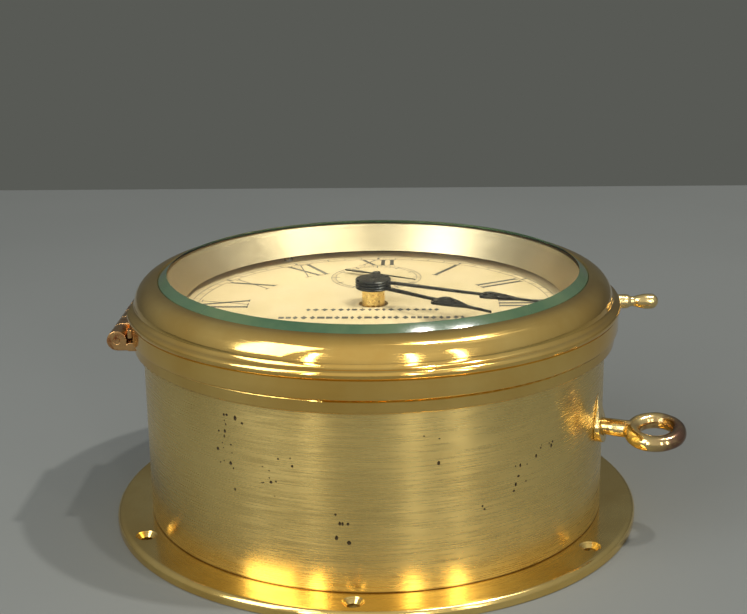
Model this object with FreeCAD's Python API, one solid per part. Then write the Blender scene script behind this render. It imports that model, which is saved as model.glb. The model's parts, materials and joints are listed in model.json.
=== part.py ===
"""Brass ship's bulkhead clock with a hinged, lockable bezel and an eight-day lever movement.

Frame: origin at the centre of the flange's back plane. +Z runs out through the dial, +Y points to
12 o'clock and +X to 3 o'clock. Millimetres throughout. One STEP file is written for each node.
"""
import FreeCAD, Part
import math
import os

# ---------------------------------------------------------------- case
FLANGE_R = 108.0
FLANGE_T = 4.5
FLANGE_EDGE_R = 2.3
FLANGE_OPENING_R = 84.0
BOLT_CIRCLE_R = 100.3
BOLT_COUNT = 6
BOLT_FIRST_DEG = 27.0
BOLT_HOLE_R = 2.25
BOLT_HEAD_R = 4.0
DRUM_R = 93.6
DRUM_WALL = 2.0
DRUM_BORE_R = DRUM_R - DRUM_WALL
RING_BOTTOM_Z = 74.3
RING_TOP_Z = 79.5
RING_R = 97.3
RING_SEAT_Z = 82.5
RING_INNER_R = 76.0
COLLAR_R = 88.5
COVER_R = 88.0
COVER_TOP_Z = 1.6
COVER_BOTTOM_Z = 0.2
COVER_SCREW_R = 86.0
COVER_SCREW_COUNT = 6

# ---------------------------------------------------------------- dial and hands
DIAL_R = 86.3
DIAL_TOP_Z = 84.0
DIAL_SCREW_R = 82.0
DIAL_CENTRE_HOLE_R = 6.0
MINUTE_DEG = 116.0
HOUR_DEG = 120.0 + MINUTE_DEG / 12.0
SECONDS_DEG = 119.0
MINUTE_HAND_LEN = 72.0
HOUR_HAND_LEN = 60.0
SECONDS_HAND_LEN = 19.5
SECONDS_TAIL_LEN = 15.8
COLLET_R = 7.3
PIPE_R = 4.65
HOUR_COLLET_Z0 = 90.6
HOUR_COLLET_Z1 = 92.4
MINUTE_COLLET_Z0 = 92.7
MINUTE_COLLET_Z1 = 94.5

# ---------------------------------------------------------------- bezel
SKIRT_R = 98.7
SKIRT_BOTTOM_Z = 79.8
SKIRT_TOP_Z = 87.0
LIP_R = 99.5
LIP_BOTTOM_Z = 87.6
LIP_TOP_Z = 90.2
BEZEL_BORE_R = 91.5
BEZEL_TOP_Z = 100.5
SIGHT_FLANGE_Z = 91.6
SIGHT_FLANGE_T = 1.4
GLASS_R = 86.3
GLASS_FLAT_R = 83.0
GLASS_BOTTOM_Z = 98.0
GLASS_EDGE_Z = 100.4
GLASS_TOP_Z = 102.7
REBATE_R = GLASS_R + 0.05
# the lip is cut back to a flat behind the hinge, up to this height
HINGE_FLAT_TOP_Z = 92.8
CATCH_INNER_R = 80.0
CATCH_SCREW_YS = (-7.6, -4.6)
SIGHT_TOP_R = 83.1
SIGHT_BOTTOM_R = 76.5
SIGHT_BOTTOM_Z = 87.0
KNOB_Z = 87.0
KNOB_TIP_X = 115.4
KNOB_END_R = 3.1

# ---------------------------------------------------------------- hinge (9 o'clock)
HINGE_X = -100.5
HINGE_Z = 79.2
KNUCKLE_R = 4.0
KNUCKLE_COUNT = 5
HINGE_HALF = 27.0
HINGE_PIN_R = 1.2
LEAF_OUTER_X = -96.1
LEAF_INNER_X = -92.5
RUNNING = 0.05

# ---------------------------------------------------------------- lock (between 3 and 6 o'clock)
LOCK_DEG = -19.0
LOCK_Z = 45.0
PLUG_R = 3.15
STEM_R = 3.55
SHANK_W = 4.0
LUG_R = 6.4
LUG_TOP_ABOVE = 13.6
KEY_BOW_X = 116.3
KEY_BOW_OUTER_R = 12.15
KEY_WIRE_R = 3.3
KEY_TURN_DEG = 10.0
ARM_X0 = 87.0
ARM_X1 = 88.6
ARM_W = 6.0
ARM_OPEN_DEG = 25.0
CATCH_Z0 = 83.0
CATCH_Z1 = 84.5

# ---------------------------------------------------------------- movement
BACK_PLATE_Z0 = 36.0
BACK_PLATE_Z1 = 38.5
FRONT_PLATE_Z0 = 70.0
FRONT_PLATE_Z1 = 72.5
FRONT_PLATE_R = 81.0
BACK_PLATE_R = 64.0
PILLAR_CIRCLE_R = 58.0
PILLAR_R = 3.0
PILLAR_DEGS = (-135.0, -45.0, 40.0, 140.0)
POST_CIRCLE_R = 78.3
POST_R = 2.2
POST_DEGS = (60.0, 180.0, 300.0)
PIVOT_R = 0.8

# gear train: teeth and modules
GREAT_TEETH, CENTRE_PINION_TEETH, GREAT_M = 96, 12, 0.7
CENTRE_TEETH, THIRD_PINION_TEETH, CENTRE_M = 80, 10, 0.5
THIRD_TEETH, FOURTH_PINION_TEETH, THIRD_M = 75, 10, 0.5
FOURTH_TEETH, ESCAPE_PINION_TEETH, FOURTH_M = 64, 8, 0.4
CANNON_TEETH, MINUTE_WHEEL_TEETH, CANNON_M = 14, 42, 0.5
MINUTE_PINION_TEETH, HOUR_TEETH, HOUR_M = 10, 40, 0.56
RATCHET_TEETH = 36
ESCAPE_TEETH = 15


def centre_distance(teeth_a, teeth_b, module):
    return module * (teeth_a + teeth_b) / 2.0


BARREL_AT = (0.0, -centre_distance(GREAT_TEETH, CENTRE_PINION_TEETH, GREAT_M))
FOURTH_AT = (0.0, 41.0)
CENTRE_TO_THIRD = centre_distance(CENTRE_TEETH, THIRD_PINION_TEETH, CENTRE_M)
THIRD_TO_FOURTH = centre_distance(THIRD_TEETH, FOURTH_PINION_TEETH, THIRD_M)
THIRD_Y = (CENTRE_TO_THIRD**2 - THIRD_TO_FOURTH**2 + FOURTH_AT[1] ** 2) / (2.0 * FOURTH_AT[1])
THIRD_AT = (math.sqrt(CENTRE_TO_THIRD**2 - THIRD_Y**2), THIRD_Y)
ESCAPE_DIRECTION_DEG = 160.0
FOURTH_TO_ESCAPE = centre_distance(FOURTH_TEETH, ESCAPE_PINION_TEETH, FOURTH_M)
MINUTE_WHEEL_DEG = 225.0
CENTRE_TO_MINUTE_WHEEL = centre_distance(CANNON_TEETH, MINUTE_WHEEL_TEETH, CANNON_M)

V = FreeCAD.Vector
X_AXIS = V(1, 0, 0)
Y_AXIS = V(0, 1, 0)
Z_AXIS = V(0, 0, 1)
ORIGIN = V(0, 0, 0)


# ================================================================ helpers
def polar(radius, degrees, about=(0.0, 0.0)):
    angle = math.radians(degrees)
    return (about[0] + radius * math.cos(angle), about[1] + radius * math.sin(angle))


ESCAPE_AT = polar(FOURTH_TO_ESCAPE, ESCAPE_DIRECTION_DEG, FOURTH_AT)
MINUTE_WHEEL_AT = polar(CENTRE_TO_MINUTE_WHEEL, MINUTE_WHEEL_DEG)
LEVER_AT = polar(7.6, 200.0, ESCAPE_AT)
BALANCE_AT = polar(11.5, 215.0, LEVER_AT)


def direction_deg(a, b):
    return math.degrees(math.atan2(b[1] - a[1], b[0] - a[0]))


def rod(radius, z0, z1, at=(0.0, 0.0)):
    return Part.makeCylinder(radius, z1 - z0, V(at[0], at[1], z0))


def tube(outer, inner, z0, z1, at=(0.0, 0.0)):
    return rod(outer, z0, z1, at).cut(rod(inner, z0 - 1, z1 + 1, at))


def rod_x(radius, x0, x1, z=0.0, y=0.0):
    return Part.makeCylinder(radius, x1 - x0, V(x0, y, z), X_AXIS)


def box(x0, x1, y0, y1, z0, z1):
    return Part.makeBox(x1 - x0, y1 - y0, z1 - z0, V(x0, y0, z0))


def outline_face(steps, lift):
    """Closed face from plane points; a pair of points is an arc through the first to the second."""
    edges = []
    here = steps[0]
    for step in list(steps[1:]) + [steps[0]]:
        if isinstance(step[0], tuple):
            middle, end = step
            edges.append(Part.Arc(lift(here), lift(middle), lift(end)).toShape())
        else:
            end = step
            edges.append(Part.makeLine(lift(here), lift(end)))
        here = end
    return Part.Face(Part.Wire(edges))


def turned(steps):
    """Solid of revolution about Z from (radius, height) points."""
    face = outline_face(steps, lambda p: V(p[0], 0, p[1]))
    return face.revolve(ORIGIN, Z_AXIS, 360)


def turned_x(steps):
    """Solid of revolution about X from (distance along X, radius) points."""
    face = outline_face(steps, lambda p: V(p[0], 0, p[1]))
    return face.revolve(ORIGIN, X_AXIS, 360)


def plate(steps, z0, z1):
    """Flat piece from a plan outline."""
    face = outline_face(steps, lambda p: V(p[0], p[1], z0))
    return face.extrude(V(0, 0, z1 - z0))


def around(shape, degrees, at=(0.0, 0.0)):
    turned_shape = shape.copy()
    turned_shape.rotate(V(at[0], at[1], 0), Z_AXIS, degrees)
    return turned_shape


def moved(shape, x=0.0, y=0.0, z=0.0):
    copy = shape.copy()
    copy.translate(V(x, y, z))
    return copy


def cut_all(shape, tools):
    for tool in tools:
        shape = shape.cut(tool)
    return shape


def joined(shapes):
    result = shapes[0]
    for shape in shapes[1:]:
        result = result.fuse(shape)
    return result.removeSplitter()


def gear(teeth, module, z0, z1, at, phase_deg, bore=0.0):
    """Spur gear with thin trapezoid teeth; one tooth is centred on phase_deg."""
    pitch_r = module * teeth / 2.0
    tip_r = pitch_r + 0.85 * module
    root_r = pitch_r - 1.15 * module
    step = 360.0 / teeth
    corners = ((root_r, -0.26), (tip_r, -0.11), (tip_r, 0.11), (root_r, 0.26))
    points = []
    for i in range(teeth):
        for radius, share in corners:
            x, y = polar(radius, phase_deg + (i + share) * step, at)
            points.append(V(x, y, z0))
    wheel = Part.Face(Part.makePolygon(points + [points[0]])).extrude(V(0, 0, z1 - z0))
    if bore:
        wheel = wheel.cut(rod(bore, z0 - 1, z1 + 1, at))
    return wheel


def crossed(wheel, inner, outer, z0, z1, at, arms=5):
    """Wheel with windows cut out between its arms."""
    gap_deg = 360.0 / arms * 0.78
    for i in range(arms):
        window = Part.makeCylinder(outer, z1 - z0 + 2, V(at[0], at[1], z0 - 1), Z_AXIS, gap_deg)
        window = window.cut(rod(inner, z0 - 2, z1 + 2, at))
        wheel = wheel.cut(around(window, i * 360.0 / arms, at))
    return wheel


def mesh_phase(teeth, from_at, to_at, gap):
    """Angle of a tooth such that a tooth, or a gap, lies on the line to the mating gear."""
    return direction_deg(from_at, to_at) + (180.0 / teeth if gap else 0.0)


def countersunk_screw(head_r, shank_r, z_head, z_tip, at):
    """Slotted countersunk screw; its head is at z_head and its shank runs to z_tip."""
    way = 1.0 if z_tip > z_head else -1.0
    axis = V(0, 0, way)
    start = V(at[0], at[1], z_head)
    head_h = head_r - shank_r
    head = Part.makeCone(head_r, shank_r, head_h, start, axis)
    shank = Part.makeCylinder(shank_r, abs(z_tip - z_head), start, axis)
    slot_half = 0.18 * head_r
    slot_z0, slot_z1 = sorted((z_head - way, z_head + 0.35 * head_h * way))
    slot = box(at[0] - head_r, at[0] + head_r, at[1] - slot_half, at[1] + slot_half, slot_z0, slot_z1)
    return head.fuse(shank).cut(slot)


def countersink(head_r, hole_r, z_head, z_tip, at):
    """Tool that cuts the seat of such a screw."""
    way = 1.0 if z_tip > z_head else -1.0
    start = V(at[0], at[1], z_head)
    cone = Part.makeCone(head_r, hole_r, head_r - hole_r, start, V(0, 0, way))
    return cone.fuse(rod(hole_r, min(z_head, z_tip), max(z_head, z_tip), at))


def pan_screw(head_r, head_h, shank_r, z_seat, z_tip, at):
    """Slotted cheese-head screw whose head sits on z_seat, away from its tip."""
    way = 1.0 if z_tip > z_seat else -1.0
    head_z0, head_z1 = sorted((z_seat, z_seat - way * head_h))
    shank_z0, shank_z1 = sorted((z_seat, z_tip))
    slot_z0, slot_z1 = sorted((z_seat - way * head_h * 0.55, z_seat - way * (head_h + 1)))
    head = rod(head_r, head_z0, head_z1, at)
    slot = box(at[0] - head_r, at[0] + head_r, at[1] - 0.25, at[1] + 0.25, slot_z0, slot_z1)
    return head.cut(slot).fuse(rod(shank_r, shank_z0, shank_z1, at))


def to_lock(shape):
    """Turns a piece made about the X axis to the lock's place on the drum."""
    return around(moved(shape, z=LOCK_Z), LOCK_DEG)


# ================================================================ case
def bolt_places():
    return [polar(BOLT_CIRCLE_R, BOLT_FIRST_DEG + i * 360.0 / BOLT_COUNT) for i in range(BOLT_COUNT)]


def cover_screw_places():
    return [polar(COVER_SCREW_R, i * 360.0 / COVER_SCREW_COUNT) for i in range(COVER_SCREW_COUNT)]


def back_flange():
    edge_centre_r = FLANGE_R - FLANGE_EDGE_R
    edge_centre_z = FLANGE_T - FLANGE_EDGE_R
    mid = (edge_centre_r + FLANGE_EDGE_R * math.sqrt(0.5), edge_centre_z + FLANGE_EDGE_R * math.sqrt(0.5))
    spigot_z = FLANGE_T + 4.0
    body = turned([
        (FLANGE_R, 0.0), (FLANGE_R, edge_centre_z), (mid, (edge_centre_r, FLANGE_T)),
        (DRUM_BORE_R, FLANGE_T), (DRUM_BORE_R, spigot_z), (DRUM_BORE_R - 2.0, spigot_z),
        (FLANGE_OPENING_R, FLANGE_T), (FLANGE_OPENING_R, COVER_TOP_Z), (COVER_R + 0.2, COVER_TOP_Z),
        (COVER_R + 0.2, 0.0),
    ])
    sinks = [countersink(BOLT_HEAD_R, BOLT_HOLE_R, FLANGE_T, -1.0, at) for at in bolt_places()]
    taps = [rod(1.2, 0, 4.2, at) for at in cover_screw_places()]
    return cut_all(body, sinks + taps)


def back_cover():
    sheet = rod(COVER_R, COVER_BOTTOM_Z, COVER_TOP_Z)
    sinks = [countersink(2.2, 1.25, COVER_BOTTOM_Z, 3.0, at) for at in cover_screw_places()]
    return cut_all(sheet, sinks)


def back_cover_screws():
    return Part.makeCompound(
        [countersunk_screw(2.15, 1.2, COVER_BOTTOM_Z, 4.0, at) for at in cover_screw_places()]
    )


def case_drum():
    wall = turned([
        (DRUM_BORE_R, FLANGE_T), (DRUM_R - 0.3, FLANGE_T), (DRUM_R, FLANGE_T + 0.3),
        (DRUM_R, RING_BOTTOM_Z), (DRUM_BORE_R, RING_BOTTOM_Z),
    ])
    return wall.cut(to_lock(rod_x(4.4, DRUM_BORE_R - 5, DRUM_R + 5)))


def hinge_recess(z0, z1):
    return box(HINGE_X - KNUCKLE_R - 1, LEAF_OUTER_X, -HINGE_HALF - 0.35, HINGE_HALF + 0.35, z0, z1)


def leaf_slot(z0, z1):
    return box(LEAF_OUTER_X, LEAF_INNER_X, -HINGE_HALF, HINGE_HALF, z0, z1)


def arm_slot():
    """Slot through the body ring for the swinging hook arm."""
    return around(box(ARM_X0 - 0.6, ARM_X1 + 0.6, -3.9, 22.5, 60.0, RING_SEAT_Z + 1), LOCK_DEG)


def post_places():
    return [polar(POST_CIRCLE_R, degrees) for degrees in POST_DEGS]


def body_ring():
    """Turned bead between drum and bezel, with the dial seat inside it."""
    round_r = 0.8
    body = turned([
        (DRUM_BORE_R - 2.0, 68.3), (DRUM_BORE_R, 68.3), (DRUM_BORE_R, RING_BOTTOM_Z),
        (RING_R - round_r, RING_BOTTOM_Z),
        ((RING_R - 0.23, RING_BOTTOM_Z + 0.23), (RING_R, RING_BOTTOM_Z + round_r)),
        (RING_R, RING_TOP_Z - round_r),
        ((RING_R - 0.23, RING_TOP_Z - 0.23), (RING_R - round_r, RING_TOP_Z)),
        (COLLAR_R, RING_TOP_Z), (COLLAR_R, RING_SEAT_Z), (RING_INNER_R, RING_SEAT_Z),
        (RING_INNER_R, RING_TOP_Z), (86.0, RING_TOP_Z), (DRUM_BORE_R - 2.0, 76.0),
    ])
    tools = [hinge_recess(RING_BOTTOM_Z - 1, RING_TOP_Z + 1), leaf_slot(74.9, 78.5), arm_slot()]
    tools += [rod(1.0, RING_TOP_Z - 1, RING_SEAT_Z + 1, at) for at in post_places()]
    tools += [rod(1.0, RING_TOP_Z - 1, RING_SEAT_Z + 1, at) for at in dial_screw_places()]
    return cut_all(body, tools)


# ================================================================ hinge
def knuckle_span(index):
    width = 2.0 * HINGE_HALF / KNUCKLE_COUNT
    y0 = -HINGE_HALF + index * width
    return (y0 + 0.1, y0 + width - 0.1)


def hinge_leaf(indexes, leaf_z, bridge_z, bore):
    """Leaf plate with its knuckles; leaf_z and bridge_z are (low, high) heights."""
    pieces = [box(LEAF_OUTER_X, LEAF_INNER_X, -HINGE_HALF, HINGE_HALF, *leaf_z)]
    for index in indexes:
        y0, y1 = knuckle_span(index)
        pieces.append(Part.makeCylinder(KNUCKLE_R, y1 - y0, V(HINGE_X, y0, HINGE_Z), Y_AXIS))
        pieces.append(box(HINGE_X, LEAF_OUTER_X, y0, y1, *bridge_z))
    leaf = joined(pieces)
    pin_way = Part.makeCylinder(bore, 2 * HINGE_HALF + 2, V(HINGE_X, -HINGE_HALF - 1, HINGE_Z), Y_AXIS)
    return leaf.cut(pin_way)


def lower_hinge_leaf():
    return hinge_leaf((0, 2, 4), (74.9, 78.5), (75.2, 77.9), HINGE_PIN_R)


def upper_hinge_leaf():
    return hinge_leaf((1, 3), (80.1, 83.6), (80.5, 83.2), HINGE_PIN_R + RUNNING)


def hinge_pin():
    return Part.makeCylinder(HINGE_PIN_R, 2 * HINGE_HALF, V(HINGE_X, -HINGE_HALF, HINGE_Z), Y_AXIS)


# ================================================================ dial
def dial_screw_places():
    return [polar(DIAL_SCREW_R, degrees) for degrees in (0.0, 120.0, 240.0)]


def dial():
    sheet = rod(DIAL_R, RING_SEAT_Z, DIAL_TOP_Z)
    tools = [rod(DIAL_CENTRE_HOLE_R, 80, 90), rod(4.2, 80, 90, BARREL_AT), rod(1.6, 80, 90, FOURTH_AT)]
    tools += [rod(1.0, 80, 90, at) for at in dial_screw_places()]
    tools += [rod(2.4, 80, DIAL_TOP_Z - 0.4, at) for at in post_places()]
    return cut_all(sheet, tools)


def dial_screws():
    return Part.makeCompound(
        [pan_screw(2.0, 0.9, 1.0, DIAL_TOP_Z, RING_TOP_Z + 0.3, at) for at in dial_screw_places()]
    )


# ================================================================ bezel
def bezel_ring():
    body = turned([
        (BEZEL_BORE_R, SKIRT_BOTTOM_Z), (SKIRT_R - 0.5, SKIRT_BOTTOM_Z), (SKIRT_R, SKIRT_BOTTOM_Z + 0.5),
        (SKIRT_R, SKIRT_TOP_Z), (SKIRT_R - 0.5, SKIRT_TOP_Z + 0.35), (LIP_R - 0.6, LIP_BOTTOM_Z),
        ((LIP_R, (LIP_BOTTOM_Z + LIP_TOP_Z) / 2), (LIP_R - 0.6, LIP_TOP_Z)),
        (LIP_R - 1.9, LIP_TOP_Z + 0.4),
        ((96.7, 91.2), (96.2, 92.4)),
        ((93.6, 97.7), (88.2, BEZEL_TOP_Z - 0.15)),
        (REBATE_R + 0.4, BEZEL_TOP_Z), (REBATE_R, BEZEL_TOP_Z - 0.3), (REBATE_R, GLASS_BOTTOM_Z),
        (85.2, GLASS_BOTTOM_Z), (85.2, SIGHT_FLANGE_Z + SIGHT_FLANGE_T),
        (BEZEL_BORE_R, SIGHT_FLANGE_Z + SIGHT_FLANGE_T),
    ])
    knob_seat = rod_x(3.0, SKIRT_R - 0.9, LIP_R + 2, KNOB_Z)
    knob_tap = rod_x(1.5, 93.0, SKIRT_R, KNOB_Z)
    tools = [hinge_recess(SKIRT_BOTTOM_Z - 1, HINGE_FLAT_TOP_Z), leaf_slot(80.1, 83.6), knob_seat, knob_tap]
    tools += [rod(0.9, 90, 95.4, at) for at in sight_screw_places()]
    tools += [around(moved(rod_x(0.9, 88, 94.6), y=y, z=88.5), LOCK_DEG) for y in CATCH_SCREW_YS]
    return cut_all(body, tools)


def glass():
    return turned([
        (0.0, GLASS_BOTTOM_Z), (GLASS_R, GLASS_BOTTOM_Z), (GLASS_R, GLASS_EDGE_Z),
        (GLASS_FLAT_R, GLASS_TOP_Z), (0.0, GLASS_TOP_Z),
    ])


def sight_screw_places():
    return [polar(88.6, 30.0 + i * 60.0) for i in range(6)]


def sight_ring():
    """Conical ring seen between glass and dial; its flange is screwed up into the bezel."""
    flange_top = SIGHT_FLANGE_Z + SIGHT_FLANGE_T
    wall = 1.6
    slope = (SIGHT_TOP_R - SIGHT_BOTTOM_R) / (GLASS_BOTTOM_Z - SIGHT_BOTTOM_Z)
    low_r = SIGHT_BOTTOM_R + wall + slope * (SIGHT_FLANGE_Z - SIGHT_BOTTOM_Z)
    high_r = SIGHT_BOTTOM_R + wall + slope * (flange_top - SIGHT_BOTTOM_Z)
    body = turned([
        (SIGHT_BOTTOM_R, SIGHT_BOTTOM_Z), (SIGHT_BOTTOM_R + wall, SIGHT_BOTTOM_Z), (low_r, SIGHT_FLANGE_Z),
        (BEZEL_BORE_R - 0.1, SIGHT_FLANGE_Z), (BEZEL_BORE_R - 0.1, flange_top), (high_r, flange_top),
        (SIGHT_TOP_R + wall, GLASS_BOTTOM_Z), (SIGHT_TOP_R, GLASS_BOTTOM_Z),
    ])
    return cut_all(body, [rod(0.9, 90, 95, at) for at in sight_screw_places()])


def sight_ring_screws():
    return Part.makeCompound(
        [pan_screw(1.7, 0.9, 0.9, SIGHT_FLANGE_Z, 95.2, at) for at in sight_screw_places()]
    )


def bezel_knob():
    """Turned pull knob: collar, waist and rounded end, on a threaded shank."""
    end_x = KNOB_TIP_X - KNOB_END_R
    profile = turned_x([
        (93.2, 0.0), (93.2, 1.5), (97.8, 1.5), (97.8, 2.9), (102.4, 2.9),
        ((103.3, 2.65), (104.0, 2.25)),
        ((105.2, 2.0), (106.6, 2.35)),
        ((108.7, 2.9), (end_x, KNOB_END_R)),
        ((end_x + KNOB_END_R * math.sqrt(0.5), KNOB_END_R * math.sqrt(0.5)), (KNOB_TIP_X, 0.0)),
    ])
    return moved(profile, z=KNOB_Z)


def lock_catch():
    """Angle bracket on the bezel's inside wall; the hook arm passes over its ledge."""
    y0, y1 = -9.6, -3.4
    ledge = box(ARM_X0 - 0.2, BEZEL_BORE_R + 1, y0, y1, CATCH_Z0, CATCH_Z1)
    riser = box(BEZEL_BORE_R - 1.9, BEZEL_BORE_R + 1, y0, y1, CATCH_Z0, 91.0)
    shape = ledge.fuse(riser).common(tube(BEZEL_BORE_R, CATCH_INNER_R, 80, 92))
    shape = cut_all(shape, [moved(rod_x(0.9, 84, 94), y=y, z=88.5) for y in CATCH_SCREW_YS])
    return around(shape.removeSplitter(), LOCK_DEG)


def catch_screws():
    screws = []
    for y in CATCH_SCREW_YS:
        head = moved(rod_x(1.35, 88.3, 89.2), y=y, z=88.5)
        shank = moved(rod_x(0.9, 89.0, 94.4), y=y, z=88.5)
        screws.append(around(head.fuse(shank), LOCK_DEG))
    return Part.makeCompound(screws)


# ================================================================ lock
def lock_escutcheon():
    """Drop-shaped lug on the drum, thick at the keyhole and sloping flush at its top."""
    keyhole_end = rod_x(LUG_R, 80.0, 101.0)
    top_end = rod_x(2.0, 80.0, 101.0, LUG_TOP_ABOVE - 2.0)
    half_web = LUG_R * 0.92
    web = Part.Face(Part.makePolygon([
        V(80, -half_web, 2.2), V(80, half_web, 2.2), V(80, 1.9, LUG_TOP_ABOVE - 1.5),
        V(80, -1.9, LUG_TOP_ABOVE - 1.5), V(80, -half_web, 2.2),
    ])).extrude(V(21, 0, 0))
    lug = joined([keyhole_end, top_end, web])
    slope_deg = 9.5
    above = box(0, 40, -20, 20, -40, 40)
    above.rotate(ORIGIN, Y_AXIS, -slope_deg)
    lug = lug.cut(moved(above, x=95.9))
    drum_solid = moved(rod(DRUM_R, -60, 60))
    lug = lug.cut(drum_solid)
    body = lug.fuse(rod_x(4.4, 90.0, 95.4))
    body = cut_all(body, [rod_x(PLUG_R + RUNNING, 80, 100), rod_x(STEM_R + 0.08, 95.0, 101)])
    return to_lock(body.removeSplitter())


def lock_nut():
    nut = Part.makeCylinder(6.4, 1.4, V(90.0, 0, 0), X_AXIS).cut(rod_x(4.4, 80, 100))
    flats = [box(89, 92, 5.7, 8, -8, 8), box(89, 92, -8, -5.7, -8, 8)]
    return to_lock(cut_all(nut, flats).common(rod(DRUM_BORE_R, -60, 60)))


def lock_plug():
    body = rod_x(PLUG_R, 86.6, 94.9)
    half = SHANK_W / 2 + 0.06
    socket = box(89.6, 96, -half, half, -half, half)
    socket.rotate(ORIGIN, X_AXIS, KEY_TURN_DEG)
    tap = rod_x(1.2, 86, 89.0)
    return to_lock(cut_all(body, [socket, tap]))


def hook_arm():
    """Arm on the plug's inner end; its nose swings over the bezel's catch. Drawn unlocked."""
    half = ARM_W / 2
    nose_z0 = CATCH_Z1 + 0.35 - LOCK_Z
    nose_z1 = nose_z0 + 1.6
    strip = box(ARM_X0, ARM_X1, -half, half, 0, nose_z1)
    hub = rod_x(5.2, ARM_X0, ARM_X1)
    nose = box(ARM_X0, ARM_X1, -8.4, -half, nose_z0, nose_z1)
    arm = joined([strip, hub, nose]).cut(rod_x(PLUG_R, 80, 100))
    arm.rotate(ORIGIN, X_AXIS, -ARM_OPEN_DEG)
    return to_lock(arm)


def arm_screw():
    head = rod_x(3.9, 85.4, 86.6)
    slot = box(85.0, 85.9, -4, 4, -0.4, 0.4)
    return to_lock(head.cut(slot).fuse(rod_x(1.2, 86.0, 88.8)))


def bezel_key():
    """Ring-bow key: square shank, round stem and a thick ring."""
    half = SHANK_W / 2
    shank = box(90.0, 96.0, -half, half, -half, half)
    ring_x0 = KEY_BOW_X - KEY_BOW_OUTER_R
    stem = turned_x([
        (95.4, 0.0), (95.4, STEM_R), (ring_x0 + 2.4, STEM_R), (ring_x0 + 4.6, 0.0),
    ])
    ring = Part.makeTorus(KEY_BOW_OUTER_R - KEY_WIRE_R, KEY_WIRE_R, V(KEY_BOW_X, 0, 0), Z_AXIS)
    key = joined([shank, stem, ring])
    key.rotate(ORIGIN, X_AXIS, KEY_TURN_DEG)
    return to_lock(key)


# ================================================================ movement frame
def pillar_places():
    return [polar(PILLAR_CIRCLE_R, degrees) for degrees in PILLAR_DEGS]


def pivot_holes(z0, z1, places):
    return [rod(PIVOT_R + RUNNING, z0 - 1, z1 + 1, at) for at in places]


TRAIN_PLACES = (THIRD_AT, ESCAPE_AT, LEVER_AT)


def movement_front_plate():
    z0, z1 = FRONT_PLATE_Z0, FRONT_PLATE_Z1
    disc = rod(FRONT_PLATE_R, z0, z1)
    tools = [rod(1.5 + RUNNING, z0 - 1, z1 + 1), rod(3.0 + RUNNING, z0 - 1, z1 + 1, BARREL_AT)]
    tools.append(rod(0.9 + RUNNING, z0 - 1, z1 + 1, FOURTH_AT))
    tools.append(rod(PIVOT_R + RUNNING, z0 - 1, z1 + 1, BALANCE_AT))
    tools += pivot_holes(z0, z1, TRAIN_PLACES)
    tools += [rod(1.2, z0 - 1, z1 + 1, at) for at in pillar_places() + post_places()]
    tools.append(rod(1.2, z0 - 1, z1 + 1, MINUTE_WHEEL_AT))
    click_at, spring_at = click_places()
    tools += [rod(1.0, z0 - 1, z1 + 1, click_at), rod(0.8, z0 - 1, z1 + 1, spring_at)]
    return cut_all(disc, tools)


def movement_back_plate():
    z0, z1 = BACK_PLATE_Z0, BACK_PLATE_Z1
    disc = rod(BACK_PLATE_R, z0, z1)
    tools = [rod(1.5 + RUNNING, z0 - 1, z1 + 1), rod(3.0 + RUNNING, z0 - 1, z1 + 1, BARREL_AT)]
    tools += pivot_holes(z0, z1, TRAIN_PLACES + (FOURTH_AT,))
    tools += [rod(1.2, z0 - 1, z1 + 1, at) for at in pillar_places()]
    tools.append(rod(10.2, z0 - 1, z1 + 1, BALANCE_AT))
    tools.append(rod(1.2, z0 - 1, z1 + 1, cock_screw_place()))
    return cut_all(disc, tools)


def plate_pillars():
    pillars = []
    for at in pillar_places():
        body = rod(PILLAR_R, BACK_PLATE_Z1, FRONT_PLATE_Z0, at)
        waist = tube(PILLAR_R + 1, PILLAR_R - 0.6, BACK_PLATE_Z1 + 6, FRONT_PLATE_Z0 - 6, at)
        taps = [rod(1.2, z0, z0 + 6, at) for z0 in (BACK_PLATE_Z1 - 0.1, FRONT_PLATE_Z0 - 5.9)]
        pillars.append(cut_all(body.cut(waist), taps))
    return Part.makeCompound(pillars)


def plate_screws():
    screws = []
    for at in pillar_places():
        screws.append(pan_screw(2.6, 1.5, 1.2, BACK_PLATE_Z0, BACK_PLATE_Z1 + 5, at))
        screws.append(pan_screw(2.6, 1.5, 1.2, FRONT_PLATE_Z1, FRONT_PLATE_Z0 - 5, at))
    return Part.makeCompound(screws)


def movement_posts():
    posts = []
    for at in post_places():
        post = rod(POST_R, FRONT_PLATE_Z1, RING_TOP_Z, at).fuse(rod(1.0, RING_TOP_Z - 1, 83.2, at))
        posts.append(post.cut(rod(1.2, FRONT_PLATE_Z1 - 1, FRONT_PLATE_Z1 + 5, at)))
    return Part.makeCompound(posts)


def post_screws():
    return Part.makeCompound(
        [pan_screw(2.4, 1.5, 1.2, FRONT_PLATE_Z0, FRONT_PLATE_Z1 + 4.5, at) for at in post_places()]
    )


def cock_screw_place():
    return polar(15.5, direction_deg(BALANCE_AT, (0, 0)) + 10.0, BALANCE_AT)


def balance_cock():
    """Arm under the back plate that carries the balance's lower pivot."""
    foot = cock_screw_place()
    turn = direction_deg(BALANCE_AT, foot)
    length = math.dist(BALANCE_AT, foot)
    arm = around(box(0, length, -3.0, 3.0, 33.2, BACK_PLATE_Z0), turn)
    arm = moved(arm, BALANCE_AT[0], BALANCE_AT[1])
    ends = [rod(3.0, 33.2, BACK_PLATE_Z0, foot), rod(3.0, 33.2, BACK_PLATE_Z0, BALANCE_AT)]
    holes = [rod(1.2, 30, 40, foot), rod(PIVOT_R + RUNNING, 30, 40, BALANCE_AT)]
    return cut_all(joined([arm] + ends), holes)


def cock_screw():
    return pan_screw(2.4, 1.4, 1.2, 33.2, BACK_PLATE_Z1, cock_screw_place())


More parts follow.
